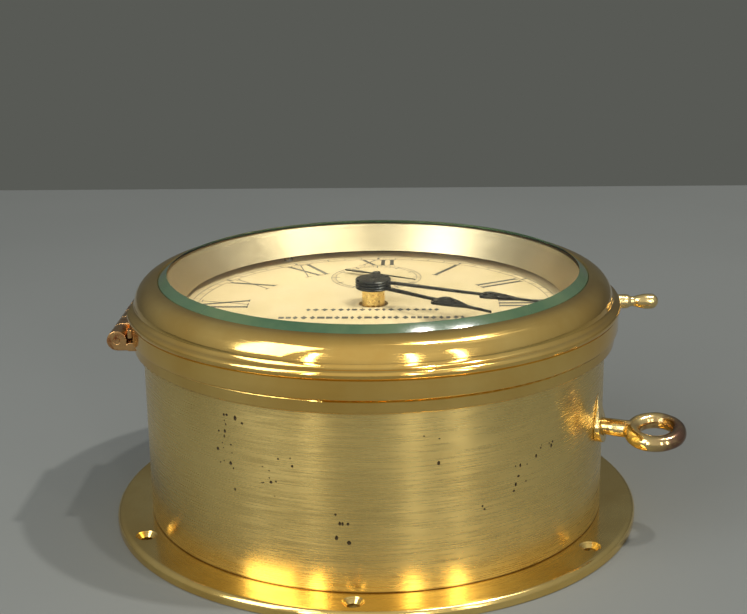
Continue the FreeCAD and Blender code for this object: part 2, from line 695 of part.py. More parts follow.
# ================================================================ winding work and barrel
RATCHET_Z0 = FRONT_PLATE_Z1 + 0.4
RATCHET_Z1 = RATCHET_Z0 + 2.0
RATCHET_R = 11.0


def click_places():
    """Pivots of the click and of its spring, beside the ratchet wheel."""
    return polar(RATCHET_R + 6.0, -60.0, BARREL_AT), polar(RATCHET_R + 9.0, -25.0, BARREL_AT)


def winding_arbor():
    parts = [
        rod(3.0, BACK_PLATE_Z0 - 1.0, RATCHET_Z1 + 0.6, BARREL_AT),
        rod(5.5, 45.3, 58.7, BARREL_AT),
        box(-1.8, 1.8, BARREL_AT[1] - 1.8, BARREL_AT[1] + 1.8, RATCHET_Z1, 83.2),
    ]
    return joined(parts)


def ratchet_wheel():
    """Saw-tooth wheel; its steep faces point against the mainspring's pull."""
    points = []
    for i in range(RATCHET_TEETH):
        start = i * 360.0 / RATCHET_TEETH
        for radius, share in ((RATCHET_R - 1.1, 0.0), (RATCHET_R, 0.12)):
            x, y = polar(radius, start + share * 360.0 / RATCHET_TEETH, BARREL_AT)
            points.append(V(x, y, RATCHET_Z0))
    face = Part.Face(Part.makePolygon(points + [points[0]]))
    wheel = face.extrude(V(0, 0, RATCHET_Z1 - RATCHET_Z0))
    return wheel.cut(rod(3.0, RATCHET_Z0 - 1, RATCHET_Z1 + 1, BARREL_AT))


def click():
    """Pawl: boss on its stud and a nose that lies in the ratchet teeth."""
    pivot, _ = click_places()
    nose_deg = -38.0 - 2.0
    nose = polar(RATCHET_R - 0.5, nose_deg, BARREL_AT)
    back = polar(RATCHET_R + 3.2, nose_deg - 3.0, BARREL_AT)
    boss = rod(2.8, RATCHET_Z0, RATCHET_Z1, pivot)
    inner = polar(2.4, direction_deg(pivot, nose) + 90.0, pivot)
    outer = polar(2.4, direction_deg(pivot, nose) - 90.0, pivot)
    tongue = plate([inner, nose, back, outer], RATCHET_Z0, RATCHET_Z1)
    clear_ratchet = ratchet_space()
    return joined([boss, tongue]).cut(clear_ratchet).cut(rod(1.0 + RUNNING, 70, 80, pivot))


def ratchet_space():
    """The ratchet wheel grown by a working clearance."""
    grown = ratchet_wheel()
    swept = [around(grown, turn, BARREL_AT) for turn in (-0.9, 0.0, 0.9)]
    return joined(swept)


def click_stud():
    pivot, _ = click_places()
    return rod(1.0, FRONT_PLATE_Z0, RATCHET_Z1 + 0.3, pivot).fuse(
        rod(2.0, RATCHET_Z1 + 0.3, RATCHET_Z1 + 1.0, pivot)
    )


def click_spring():
    """Flat spring with its foot screwed to the plate, bearing on the click's back."""
    _, foot = click_places()
    tip = polar(RATCHET_R + 4.4, -44.0, BARREL_AT)
    turn = direction_deg(foot, tip)
    length = math.dist(foot, tip)
    blade = moved(around(box(0, length, -0.25, 0.25, RATCHET_Z0, RATCHET_Z1), turn), foot[0], foot[1])
    base = rod(2.0, RATCHET_Z0 - 0.4, RATCHET_Z1, foot)
    return joined([base, blade, rod(0.8, FRONT_PLATE_Z0, RATCHET_Z0, foot)])


GREAT_Z0, GREAT_Z1 = 60.0, 62.5


def spring_barrel():
    """Barrel with the great wheel cut on its front edge."""
    phase = mesh_phase(GREAT_TEETH, BARREL_AT, (0, 0), False)
    teeth = gear(GREAT_TEETH, GREAT_M, GREAT_Z0, GREAT_Z1, BARREL_AT, phase, 3.0 + RUNNING)
    wall = tube(30.5, 29.0, 44.0, GREAT_Z0, BARREL_AT)
    return joined([teeth, wall])


def barrel_cover():
    return tube(30.5, 3.0 + RUNNING, 42.8, 44.0, BARREL_AT)


def mainspring():
    """Coiled strip inside the barrel, as one spiral ribbon."""
    turns = 7
    inner_r, outer_r = 7.0, 28.4
    thickness = 1.1
    steps_per_turn = 24
    count = turns * steps_per_turn
    rims = ([], [])
    for i in range(count + 1):
        radius = inner_r + (outer_r - thickness - inner_r) * i / count
        degrees = 360.0 * i / steps_per_turn
        for rim, offset in zip(rims, (0.0, thickness)):
            x, y = polar(radius + offset, degrees, BARREL_AT)
            rim.append(V(x, y, 45.0))
    points = rims[0] + rims[1][::-1]
    return Part.Face(Part.makePolygon(points + [points[0]])).extrude(V(0, 0, 13.5))


# ================================================================ going train
def centre_arbor():
    """Centre arbor with its pinion, which the great wheel drives."""
    phase = mesh_phase(CENTRE_PINION_TEETH, (0, 0), BARREL_AT, True)
    pinion = gear(CENTRE_PINION_TEETH, GREAT_M, 59.0, 63.8, (0, 0), phase)
    return joined([rod(1.5, BACK_PLATE_Z0 - 1.0, MINUTE_COLLET_Z1 - 0.2), pinion])


def centre_wheel():
    phase = mesh_phase(CENTRE_TEETH, (0, 0), THIRD_AT, False)
    wheel = gear(CENTRE_TEETH, CENTRE_M, 65.0, 66.6, (0, 0), phase, 1.5)
    return crossed(wheel, 5.0, 16.4, 65.0, 66.6, (0, 0))


def third_arbor():
    phase = mesh_phase(THIRD_PINION_TEETH, THIRD_AT, (0, 0), True)
    pinion = gear(THIRD_PINION_TEETH, CENTRE_M, 64.0, 68.2, THIRD_AT, phase)
    shaft = rod(1.2, BACK_PLATE_Z1 + 0.6, FRONT_PLATE_Z0 - 0.6, THIRD_AT)
    pivots = rod(PIVOT_R, BACK_PLATE_Z0, FRONT_PLATE_Z1, THIRD_AT)
    return joined([pivots, shaft, pinion])


def third_wheel():
    phase = mesh_phase(THIRD_TEETH, THIRD_AT, FOURTH_AT, False)
    wheel = gear(THIRD_TEETH, THIRD_M, 52.0, 53.4, THIRD_AT, phase, 1.2)
    return crossed(wheel, 4.6, 15.4, 52.0, 53.4, THIRD_AT)


def fourth_arbor():
    """Arbor that turns once a minute and carries the seconds hand."""
    phase = mesh_phase(FOURTH_PINION_TEETH, FOURTH_AT, THIRD_AT, True)
    pinion = gear(FOURTH_PINION_TEETH, THIRD_M, 51.0, 55.0, FOURTH_AT, phase)
    shaft = rod(1.2, BACK_PLATE_Z1 + 0.6, FRONT_PLATE_Z0 - 0.6, FOURTH_AT)
    lower = rod(PIVOT_R, BACK_PLATE_Z0, BACK_PLATE_Z1 + 1, FOURTH_AT)
    upper = rod(0.9, FRONT_PLATE_Z0 - 1, 86.6, FOURTH_AT)
    return joined([lower, shaft, upper, pinion])


def fourth_wheel():
    phase = mesh_phase(FOURTH_TEETH, FOURTH_AT, ESCAPE_AT, False)
    wheel = gear(FOURTH_TEETH, FOURTH_M, 45.0, 46.2, FOURTH_AT, phase, 1.2)
    return crossed(wheel, 3.4, 10.4, 45.0, 46.2, FOURTH_AT, 4)


def escape_arbor():
    phase = mesh_phase(ESCAPE_PINION_TEETH, ESCAPE_AT, FOURTH_AT, True)
    pinion = gear(ESCAPE_PINION_TEETH, FOURTH_M, 44.2, 47.4, ESCAPE_AT, phase)
    pivots = rod(PIVOT_R, BACK_PLATE_Z0, FRONT_PLATE_Z1, ESCAPE_AT)
    return joined([pivots, pinion])


ESCAPE_Z0, ESCAPE_Z1 = 49.0, 49.7
ESCAPE_R = 5.2
PALLET_SPREAD_DEG = 56.0


def escape_wheel():
    """Fifteen leaning club teeth on a thin rim."""
    points = []
    step = 360.0 / ESCAPE_TEETH
    for i in range(ESCAPE_TEETH):
        for radius, share in ((3.7, 0.0), (ESCAPE_R - 0.15, 0.42), (ESCAPE_R, 0.62), (3.7, 0.40)):
            x, y = polar(radius, (i + share) * step, ESCAPE_AT)
            points.append(V(x, y, ESCAPE_Z0))
    wheel = Part.Face(Part.makePolygon(points + [points[0]])).extrude(V(0, 0, ESCAPE_Z1 - ESCAPE_Z0))
    wheel = wheel.cut(rod(PIVOT_R, 48, 51, ESCAPE_AT))
    return crossed(wheel, 1.6, 3.0, ESCAPE_Z0, ESCAPE_Z1, ESCAPE_AT, 4)


def pallet_lever():
    """Lever with two pallets towards the escape wheel and a fork towards the balance."""
    to_wheel = direction_deg(LEVER_AT, ESCAPE_AT)
    to_balance = direction_deg(LEVER_AT, BALANCE_AT)
    z0, z1 = ESCAPE_Z0, ESCAPE_Z1 + 0.3
    pieces = [rod(1.6, z0, z1, LEVER_AT), rod(PIVOT_R, BACK_PLATE_Z0, FRONT_PLATE_Z1, LEVER_AT)]
    for side in (-1, 1):
        arm = around(box(0, 5.2, -0.5, 0.5, z0, z1), to_wheel + side * PALLET_SPREAD_DEG)
        pieces.append(moved(arm, LEVER_AT[0], LEVER_AT[1]))
    tail = moved(around(box(0, 7.4, -0.6, 0.6, z0, z1), to_balance), LEVER_AT[0], LEVER_AT[1])
    pieces.append(tail)
    for side in (-1, 1):
        horn = around(box(7.0, 8.6, side * 1.0 - 0.35, side * 1.0 + 0.35, z0, z1), to_balance)
        pieces.append(moved(horn, LEVER_AT[0], LEVER_AT[1]))
    cross_bar = moved(around(box(6.6, 7.4, -1.35, 1.35, z0, z1), to_balance), LEVER_AT[0], LEVER_AT[1])
    pieces.append(cross_bar)
    return joined(pieces)


def balance_wheel():
    """Balance with its staff, two arms, rim and roller pin."""
    z0, z1 = 41.5, 43.5
    rim = tube(8.6, 7.2, z0, z1, BALANCE_AT)
    arms = moved(box(-7.6, 7.6, -0.8, 0.8, z0, z1), BALANCE_AT[0], BALANCE_AT[1])
    staff = rod(1.2, 36.2, FRONT_PLATE_Z0 - 0.6, BALANCE_AT)
    pivots = rod(PIVOT_R, 33.4, FRONT_PLATE_Z1, BALANCE_AT)
    roller = rod(2.1, 51.0, 52.0, BALANCE_AT)
    pin_at = polar(1.6, direction_deg(BALANCE_AT, LEVER_AT), BALANCE_AT)
    pin = rod(0.35, 48.8, 51.2, pin_at)
    return joined([rim, arms, staff, pivots, roller, pin])


def hairspring():
    """Flat spiral about the balance staff."""
    turns = 6
    steps_per_turn = 20
    count = turns * steps_per_turn
    thickness = 0.25
    rims = ([], [])
    for i in range(count + 1):
        radius = 1.2 + 5.0 * i / count
        degrees = 360.0 * i / steps_per_turn
        for rim, offset in zip(rims, (0.0, thickness)):
            x, y = polar(radius + offset, degrees, BALANCE_AT)
            rim.append(V(x, y, 38.9))
    points = rims[0] + rims[1][::-1]
    return Part.Face(Part.makePolygon(points + [points[0]])).extrude(V(0, 0, 1.4))


# ================================================================ motion work and hands
CANNON_Z0 = 73.4


def cannon_pinion():
    phase = mesh_phase(CANNON_TEETH, (0, 0), MINUTE_WHEEL_AT, True)
    teeth = gear(CANNON_TEETH, CANNON_M, CANNON_Z0, 76.0, (0, 0), phase, 1.5)
    return joined([teeth, tube(2.5, 1.5, CANNON_Z0, MINUTE_COLLET_Z0)])


def minute_wheel():
    phase = mesh_phase(MINUTE_WHEEL_TEETH, MINUTE_WHEEL_AT, (0, 0), False)
    return gear(MINUTE_WHEEL_TEETH, CANNON_M, 74.2, 75.6, MINUTE_WHEEL_AT, phase, 1.2 + RUNNING)


def minute_pinion():
    phase = mesh_phase(MINUTE_PINION_TEETH, MINUTE_WHEEL_AT, (0, 0), True)
    return gear(MINUTE_PINION_TEETH, HOUR_M, 75.6, 80.4, MINUTE_WHEEL_AT, phase, 1.2 + RUNNING)


def minute_wheel_stud():
    return joined([
        rod(1.2, FRONT_PLATE_Z0, 81.2, MINUTE_WHEEL_AT),
        rod(2.2, FRONT_PLATE_Z1, 73.9, MINUTE_WHEEL_AT),
    ])


def hour_wheel():
    """Hour wheel on its long pipe, which comes up through the dial."""
    phase = mesh_phase(HOUR_TEETH, (0, 0), MINUTE_WHEEL_AT, False)
    bore = 2.5 + RUNNING
    teeth = gear(HOUR_TEETH, HOUR_M, 78.4, 79.8, (0, 0), phase, bore)
    return joined([teeth, tube(PIPE_R, bore, 77.4, HOUR_COLLET_Z0)])


def spade_hand(length, lobe_r, lobe_half, waist_r, z0, z1, bore):
    """Hand along +X: collet end, slender stem, spade and needle point."""
    stem_half = 0.85
    near = (COLLET_R - 1.0, 1.35)
    right = [
        near, (lobe_r, stem_half),
        ((lobe_r - 0.4, lobe_half * 0.7), (lobe_r + 3.0, lobe_half)),
        ((lobe_r + 8.6, lobe_half * 0.62), (waist_r, 0.85)),
        (length, 0.25),
    ]
    left = [
        (length, -0.25), (waist_r, -0.85),
        ((lobe_r + 8.6, -lobe_half * 0.62), (lobe_r + 3.0, -lobe_half)),
        ((lobe_r - 0.4, -lobe_half * 0.7), (lobe_r, -stem_half)), (near[0], -near[1]),
    ]
    return plate(right + left, z0, z1).cut(rod(bore, z0 - 1, z1 + 1))


def collet(z0, z1, bore):
    """Grooved round boss that carries a hand."""
    middle = (z0 + z1) / 2
    return turned([
        (bore, z0), (COLLET_R - 0.5, z0), (COLLET_R, z0 + 0.4), (COLLET_R, middle - 0.35),
        (COLLET_R - 0.6, middle), (COLLET_R, middle + 0.35), (COLLET_R, z1 - 0.4),
        (COLLET_R - 0.5, z1), (bore, z1),
    ])


def set_hand(shape, clockwise_deg, at=(0.0, 0.0)):
    return moved(around(shape, 90.0 - clockwise_deg), at[0], at[1])


def hour_hand():
    z0, z1 = HOUR_COLLET_Z0 + 0.5, HOUR_COLLET_Z1 - 0.4
    blade = spade_hand(HOUR_HAND_LEN, 33.0, 5.0, 48.5, z0, z1, 6.0)
    return set_hand(joined([collet(HOUR_COLLET_Z0, HOUR_COLLET_Z1, 2.5 + RUNNING), blade]), HOUR_DEG)


def minute_hand():
    z0, z1 = MINUTE_COLLET_Z0 + 0.5, MINUTE_COLLET_Z1 - 0.5
    blade = spade_hand(MINUTE_HAND_LEN, 48.0, 4.1, 62.5, z0, z1, 6.0)
    return set_hand(joined([collet(MINUTE_COLLET_Z0, MINUTE_COLLET_Z1, 1.5), blade]), MINUTE_DEG)


def seconds_hand():
    """Slender pointer with a broad leaf-shaped tail."""
    z0, z1 = 85.3, 85.8
    pointer = [(0.0, 0.6), (SECONDS_HAND_LEN, 0.15), (SECONDS_HAND_LEN, -0.15), (0.0, -0.6)]
    tail = [
        (0.0, -0.6), (-5.0, -0.5), ((-10.5, -1.7), (-SECONDS_TAIL_LEN, -0.7)),
        (-SECONDS_TAIL_LEN, 0.7), ((-10.5, 1.7), (-5.0, 0.5)), (0.0, 0.6),
    ]
    boss = rod(1.9, 84.9, 86.4)
    shape = joined([plate(pointer, z0, z1), plate(tail, z0, z1), boss]).cut(rod(0.9, 80, 90))
    return set_hand(shape, SECONDS_DEG, FOURTH_AT)


# ================================================================ export
NODES = (
    back_flange, back_cover, back_cover_screws, case_drum, body_ring,
    lower_hinge_leaf, upper_hinge_leaf, hinge_pin,
    dial, dial_screws,
    bezel_ring, glass, sight_ring, sight_ring_screws, bezel_knob, lock_catch, catch_screws,
    lock_escutcheon, lock_nut, lock_plug, hook_arm, arm_screw, bezel_key,
    movement_front_plate, movement_back_plate, plate_pillars, plate_screws, movement_posts, post_screws,
    balance_cock, cock_screw,
    winding_arbor, ratchet_wheel, click, click_stud, click_spring,
    spring_barrel, barrel_cover, mainspring,
    centre_arbor, centre_wheel, third_arbor, third_wheel, fourth_arbor, fourth_wheel,
    escape_arbor, escape_wheel, pallet_lever, balance_wheel, hairspring,
    cannon_pinion, minute_wheel, minute_pinion, minute_wheel_stud, hour_wheel,
    hour_hand, minute_hand, seconds_hand,
)


def export_all():
    os.makedirs("parts", exist_ok=True)
    for make in NODES:
        shape = make()
        solids = shape.Solids
        sound = shape.isValid() and solids and all(s.Volume > 0 for s in solids)
        state = "ok" if sound else "BAD"
        print(f"{make.__name__:24s} solids {len(solids)}  volume {shape.Volume:10.1f}  {state}")
        shape.exportStep(f"parts/{make.__name__}.step")


export_all()
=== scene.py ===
"""Looks for the brass bulkhead clock: materials, fine mesh pieces, light and camera.

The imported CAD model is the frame. Everything is in metres, in its axes: +Z out through the dial,
+Y to 12 o'clock, +X to 3 o'clock. The clock lies on its back on a plain grey floor.
"""
import json
import math
import random

import bmesh
import bpy
from mathutils import Matrix, Vector, noise


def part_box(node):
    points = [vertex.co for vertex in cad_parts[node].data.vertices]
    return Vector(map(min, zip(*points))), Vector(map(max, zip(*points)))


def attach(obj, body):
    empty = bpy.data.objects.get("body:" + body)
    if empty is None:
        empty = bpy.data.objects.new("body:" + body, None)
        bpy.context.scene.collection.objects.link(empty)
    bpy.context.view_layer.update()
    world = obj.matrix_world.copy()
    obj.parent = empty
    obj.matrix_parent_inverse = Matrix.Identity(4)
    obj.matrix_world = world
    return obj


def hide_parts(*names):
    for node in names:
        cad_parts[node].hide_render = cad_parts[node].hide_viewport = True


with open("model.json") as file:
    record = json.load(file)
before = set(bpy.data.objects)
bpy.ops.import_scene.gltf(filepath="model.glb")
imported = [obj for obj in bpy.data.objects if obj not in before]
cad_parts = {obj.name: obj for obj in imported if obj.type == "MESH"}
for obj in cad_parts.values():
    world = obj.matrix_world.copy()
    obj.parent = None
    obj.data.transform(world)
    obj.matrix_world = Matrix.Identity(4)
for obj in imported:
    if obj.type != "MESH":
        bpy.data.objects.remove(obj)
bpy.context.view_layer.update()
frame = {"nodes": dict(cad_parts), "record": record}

MM = 0.001
NODES = frame["nodes"]


# ================================================================ the frame's own sizes
def node_radius(node):
    """Outer radius of a node that is turned about the clock's axis, from its box along Y."""
    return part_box(node)[1][1]


def low_z(node):
    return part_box(node)[0][2]


def high_z(node):
    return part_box(node)[1][2]


def joint_spec(name):
    for joint in frame["record"]["behaviour"]["joints"]:
        if joint["name"] == name:
            return joint
    raise KeyError(name)


FLANGE_R = node_radius("back_flange")
DRUM_R = node_radius("case_drum")
DRUM_LOW = low_z("case_drum")
DRUM_HIGH = high_z("case_drum")
DIAL_TOP = high_z("dial")
GLASS_TOP = high_z("glass")
GLASS_LOW = low_z("glass")
SECONDS_AT = Vector(joint_spec("seconds_turn")["pos_m"])
LOCK_AXIS = Vector(joint_spec("lock_turn")["axis"])
LOCK_AT = LOCK_AXIS * DRUM_R + Vector((0.0, 0.0, joint_spec("lock_turn")["pos_m"][2]))
KEY_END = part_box("bezel_key")[1][0] / LOCK_AXIS.x
WALL = 2.0 * MM


# ================================================================ shader helpers
GRAIN_ALONG = 6.0
GRAIN_ACROSS = 2200.0


class Shader:
    """A node material, built with short calls. Constants are set on the shader's own sockets."""

    def __init__(self, name):
        self.material = bpy.data.materials.new(name)
        self.material.use_nodes = True
        self.tree = self.material.node_tree
        self.tree.nodes.clear()
        self.output = self.add("ShaderNodeOutputMaterial")
        self.surface = self.add("ShaderNodeBsdfPrincipled")
        self.link(self.surface, "BSDF", self.output, "Surface")

    def add(self, kind, **settings):
        node = self.tree.nodes.new(kind)
        for key, value in settings.items():
            setattr(node, key, value)
        return node

    def link(self, source, output, target, socket):
        self.tree.links.new(source.outputs[output], target.inputs[socket])

    def put(self, **values):
        """Sets constants on the Principled shader; underscores stand for spaces."""
        for key, value in values.items():
            self.surface.inputs[key.replace("_", " ")].default_value = value

    def feed(self, socket, node):
        self.tree.links.new(node.outputs[0], self.surface.inputs[socket])

    def math(self, operation, a, b=0.0, clamp=False):
        node = self.add("ShaderNodeMath", operation=operation, use_clamp=clamp)
        for index, value in enumerate((a, b)):
            if isinstance(value, (int, float)):
                node.inputs[index].default_value = value
            else:
                self.tree.links.new(value.outputs[0], node.inputs[index])
        return node

    def position(self):
        return self.add("ShaderNodeTexCoord")

    def split_position(self):
        split = self.add("ShaderNodeSeparateXYZ")
        self.link(self.position(), "Object", split, "Vector")
        return split

    def round_grain(self, across=GRAIN_ACROSS):
        """Coordinates in which noise becomes fine lines running round the Z axis."""
        split = self.split_position()
        x, y, z = (split.outputs[axis] for axis in "XYZ")
        square_x = self.add("ShaderNodeMath", operation="MULTIPLY")
        square_y = self.add("ShaderNodeMath", operation="MULTIPLY")
        angle = self.add("ShaderNodeMath", operation="ARCTAN2")
        for socket, node in ((x, square_x), (y, square_y)):
            self.tree.links.new(socket, node.inputs[0])
            self.tree.links.new(socket, node.inputs[1])
        self.tree.links.new(y, angle.inputs[0])
        self.tree.links.new(x, angle.inputs[1])
        radius = self.math("SQRT", self.math("ADD", square_x, square_y))
        height = self.add("ShaderNodeMath", operation="MULTIPLY")
        self.tree.links.new(z, height.inputs[0])
        height.inputs[1].default_value = across
        joined = self.add("ShaderNodeCombineXYZ")
        self.tree.links.new(self.math("MULTIPLY", angle, GRAIN_ALONG).outputs[0], joined.inputs["X"])
        self.tree.links.new(self.math("MULTIPLY", radius, across).outputs[0], joined.inputs["Y"])
        self.tree.links.new(height.outputs[0], joined.inputs["Z"])
        return joined

    def noise(self, scale, detail=4.0, rough=0.55, vector=None, distortion=0.0):
        node = self.add("ShaderNodeTexNoise")
        node.inputs["Scale"].default_value = scale
        node.inputs["Detail"].default_value = detail
        node.inputs["Roughness"].default_value = rough
        node.inputs["Distortion"].default_value = distortion
        if vector is None:
            self.link(self.position(), "Object", node, "Vector")
        else:
            self.tree.links.new(vector.outputs[0], node.inputs["Vector"])
        return node

    def cells(self, scale, randomness):
        node = self.add("ShaderNodeTexVoronoi")
        node.inputs["Scale"].default_value = scale
        node.inputs["Randomness"].default_value = randomness
        self.link(self.position(), "Object", node, "Vector")
        return node

    def ramp(self, source, stops):
        node = self.add("ShaderNodeValToRGB")
        ramp = node.color_ramp
        while len(ramp.elements) < len(stops):
            ramp.elements.new(0.5)
        for element, (place, colour) in zip(ramp.elements, stops):
            element.position = place
            element.color = (*colour, 1.0)
        self.tree.links.new(source.outputs[0], node.inputs["Fac"])
        return node

    def span(self, source, low, high, from_low=0.0, from_high=1.0, output=0):
        node = self.add("ShaderNodeMapRange")
        node.inputs["From Min"].default_value = from_low
        node.inputs["From Max"].default_value = from_high
        node.inputs["To Min"].default_value = low
        node.inputs["To Max"].default_value = high
        self.tree.links.new(source.outputs[output], node.inputs["Value"])
        return node

    def mix(self, factor, a, b):
        node = self.add("ShaderNodeMix", data_type="RGBA")
        self.tree.links.new(factor.outputs[0], node.inputs[0])
        for index, value in ((6, a), (7, b)):
            if isinstance(value, tuple):
                node.inputs[index].default_value = (*value, 1.0)
            else:
                out = value.outputs[2] if value.bl_idname == "ShaderNodeMix" else value.outputs[0]
                self.tree.links.new(out, node.inputs[index])
        return node

    def bump(self, height, strength, distance, below=None):
        node = self.add("ShaderNodeBump")
        node.inputs["Strength"].default_value = strength
        node.inputs["Distance"].default_value = distance
        self.tree.links.new(height.outputs[0], node.inputs["Height"])
        if below is not None:
            self.tree.links.new(below.outputs[0], node.inputs["Normal"])
        return node

    def finish_colour(self, node):
        out = node.outputs[2] if node.bl_idname == "ShaderNodeMix" else node.outputs[0]
        self.tree.links.new(out, self.surface.inputs["Base Color"])


# ================================================================ materials
GOLD_LIGHT = (0.90, 0.67, 0.25)
GOLD_DARK = (0.78, 0.52, 0.15)
SATIN_LIGHT = (0.87, 0.66, 0.25)
SATIN_DARK = (0.76, 0.54, 0.18)
RICH_LIGHT = (0.93, 0.64, 0.20)
RICH_DARK = (0.82, 0.50, 0.12)
JOINT_SHADE_AND_TARNISH = (0.10, 0.055, 0.022)
HANDLED_BROWN = (0.24, 0.13, 0.085)


def brass(name, light, dark, rough=(0.12, 0.24), grain=0.15, anisotropic=0.0, patches=26.0,
          scratches=0.25, across=2600.0, joints=()):
    """Turned brass: two tones in soft patches, fine lines round the axis, hairlines and dull spots.

    joints holds (edge, clear) pairs: the height of a joint, where the colour darkens as painted shade for the
    shadow in the gap there, with some tarnish, and where that ends.
    """
    s = Shader(name)
    s.put(Metallic=1.0, Anisotropic=anisotropic, Anisotropic_Rotation=0.25 if anisotropic else 0.0)
    tone = s.noise(patches, 5.0, 0.6)
    colour = s.ramp(tone, ((0.32, dark), (0.68, light)))
    lines = s.noise(1.0, 3.0, 0.5, s.round_grain(across))
    wear = s.noise(420.0, 3.0, 0.7)
    colour = s.mix(s.span(wear, 0.0, 0.35, 0.62, 0.85), colour, dark)
    # Painted shade: the colour darkens towards each joint height, standing in for the shadow in the gap, with
    # some tarnish.
    for edge, clear in joints:
        height = s.split_position()
        colour = s.mix(s.span(height, 0.85, 0.0, edge, clear, output=2), colour, JOINT_SHADE_AND_TARNISH)
    s.finish_colour(colour)
    patchy = s.span(tone, rough[0], rough[1], 0.3, 0.75)
    lined = s.span(lines, -0.05, 0.07, 0.3, 0.7)
    s.feed("Roughness", s.math("ADD", patchy, lined, clamp=True))
    stretched = s.add("ShaderNodeMapping")
    stretched.inputs["Rotation"].default_value = (0.4, 0.9, 0.3)
    stretched.inputs["Scale"].default_value = (900.0, 28.0, 900.0)
    s.link(s.position(), "Object", stretched, "Vector")
    cut = s.span(s.noise(1.0, 2.0, 0.6, stretched), 0.0, 1.0, 0.60, 0.72)
    first = s.bump(lines, grain, 0.00006)
    s.feed("Normal", s.bump(cut, scratches, 0.00003, first))
    if anisotropic:
        s.feed("Tangent", s.add("ShaderNodeTangent", direction_type="RADIAL", axis="Z"))
    return s.material


def tarnished(name, light, dark, rough=(0.16, 0.38), scale=110.0, handled=None):
    """Handled brass gone brown: blotches of patina over metal, with a fine pitted skin.

    handled is (direction, clean, brown), distances along a direction over which it darkens.
    """
    s = Shader(name)
    s.put(Metallic=1.0)
    blotch = s.noise(scale, 6.0, 0.65, distortion=0.6)
    colour = s.ramp(blotch, ((0.36, dark), (0.50, light), (0.66, light)))
    if handled:
        direction, clean, brown = handled
        along = s.add("ShaderNodeVectorMath", operation="DOT_PRODUCT")
        along.inputs[1].default_value = direction
        s.link(s.position(), "Object", along, "Vector")
        spread = s.span(along, 0.0, 1.0, clean, brown, output=1)
        uneven = s.math("MULTIPLY", spread, s.span(blotch, 1.0, 0.6, 0.45, 0.62), clamp=True)
        colour = s.mix(uneven, colour, HANDLED_BROWN)
    s.finish_colour(colour)
    s.feed("Roughness", s.span(blotch, rough[1], rough[0], 0.35, 0.62))
    skin = s.noise(1500.0, 4.0, 0.7)
    s.feed("Normal", s.bump(skin, 0.25, 0.00005, s.bump(blotch, 0.2, 0.0002)))
    return s.material


def pit_material():
    """Dark oxide in the bottom of a corrosion pit."""
    s = Shader("pit_oxide")
    s.put(Metallic=0.3, Specular_IOR_Level=0.3)
    tone = s.noise(2500.0, 3.0, 0.7)
    s.finish_colour(s.ramp(tone, ((0.3, (0.018, 0.012, 0.006)), (0.7, (0.09, 0.055, 0.02)))))
    s.feed("Roughness", s.span(tone, 0.5, 0.8, 0.3, 0.7))
    s.feed("Normal", s.bump(tone, 0.5, 0.0001))
    return s.material


def steel(name, light, dark, rough):
    s = Shader(name)
    s.put(Metallic=1.0)
    tone = s.noise(300.0, 4.0, 0.6)
    s.finish_colour(s.ramp(tone, ((0.35, dark), (0.65, light))))
    s.feed("Roughness", s.span(tone, rough[0], rough[1], 0.3, 0.7))
    s.feed("Normal", s.bump(s.noise(2400.0, 3.0, 0.6), 0.15, 0.00004))
    return s.material


def through_to_shadow(s, tint):
    """Lets lamps shine through a glass, tinted, as thin clear glass does."""
    mixer = s.add("ShaderNodeMixShader")
    clear = s.add("ShaderNodeBsdfTransparent")
    clear.inputs["Color"].default_value = (*tint, 1.0)
    path = s.add("ShaderNodeLightPath")
    s.link(path, "Is Shadow Ray", mixer, "Fac")
    s.tree.links.new(s.surface.outputs["BSDF"], mixer.inputs[1])
    s.tree.links.new(clear.outputs["BSDF"], mixer.inputs[2])
    s.link(mixer, "Shader", s.output, "Surface")


def glass_material():
    """Clear plate glass with faint smears."""
    s = Shader("plate_glass")
    s.put(Transmission_Weight=1.0, IOR=1.13)
    s.surface.inputs["Base Color"].default_value = (0.985, 1.0, 0.985, 1.0)
    smear = s.noise(45.0, 4.0, 0.6, distortion=0.8)
    s.feed("Roughness", s.span(smear, 0.0, 0.03, 0.45, 0.75))
    s.feed("Normal", s.bump(smear, 0.02, 0.0002))
    through_to_shadow(s, (0.97, 1.0, 0.98))
    return s.material


def glass_edge_material():
    """The ground bevel of the plate: the glass's own green from its depth, darkened and made opaque as a
    painted reflection of the dark brass seen through it.
    """
    s = Shader("glass_edge_green_and_painted_reflection")
    s.put(Coat_Weight=1.0, Coat_Roughness=0.06, Specular_IOR_Level=0.6)
    # Painted reflection: the dark green base colour stands in for the dark brass seen through the bevel.
    tone = s.noise(30.0, 4.0, 0.6)
    s.finish_colour(s.ramp(tone, ((0.35, (0.022, 0.066, 0.026)), (0.65, (0.058, 0.100, 0.040)))))
    s.feed("Roughness", s.span(s.noise(1800.0, 3.0, 0.6), 0.10, 0.2, 0.3, 0.7))
    s.feed("Normal", s.bump(s.noise(1.0, 3.0, 0.5, s.round_grain()), 0.1, 0.00005))
    return s.material


def dial_material():
    """Aged cream enamel with faint mottling and a few specks."""
    s = Shader("dial_cream")
    s.put(Specular_IOR_Level=0.35)
    tone = s.noise(60.0, 6.0, 0.65)
    colour = s.ramp(tone, ((0.3, (0.50, 0.38, 0.19)), (0.62, (0.56, 0.43, 0.24))))
    specks = s.noise(700.0, 2.0, 0.5)
    colour = s.mix(s.span(specks, 0.0, 0.35, 0.70, 0.78), colour, (0.45, 0.30, 0.12))
    s.finish_colour(colour)
    s.feed("Roughness", s.span(tone, 0.42, 0.58, 0.3, 0.7))
    s.feed("Normal", s.bump(s.noise(900.0, 4.0, 0.7), 0.08, 0.00005))
    return s.material


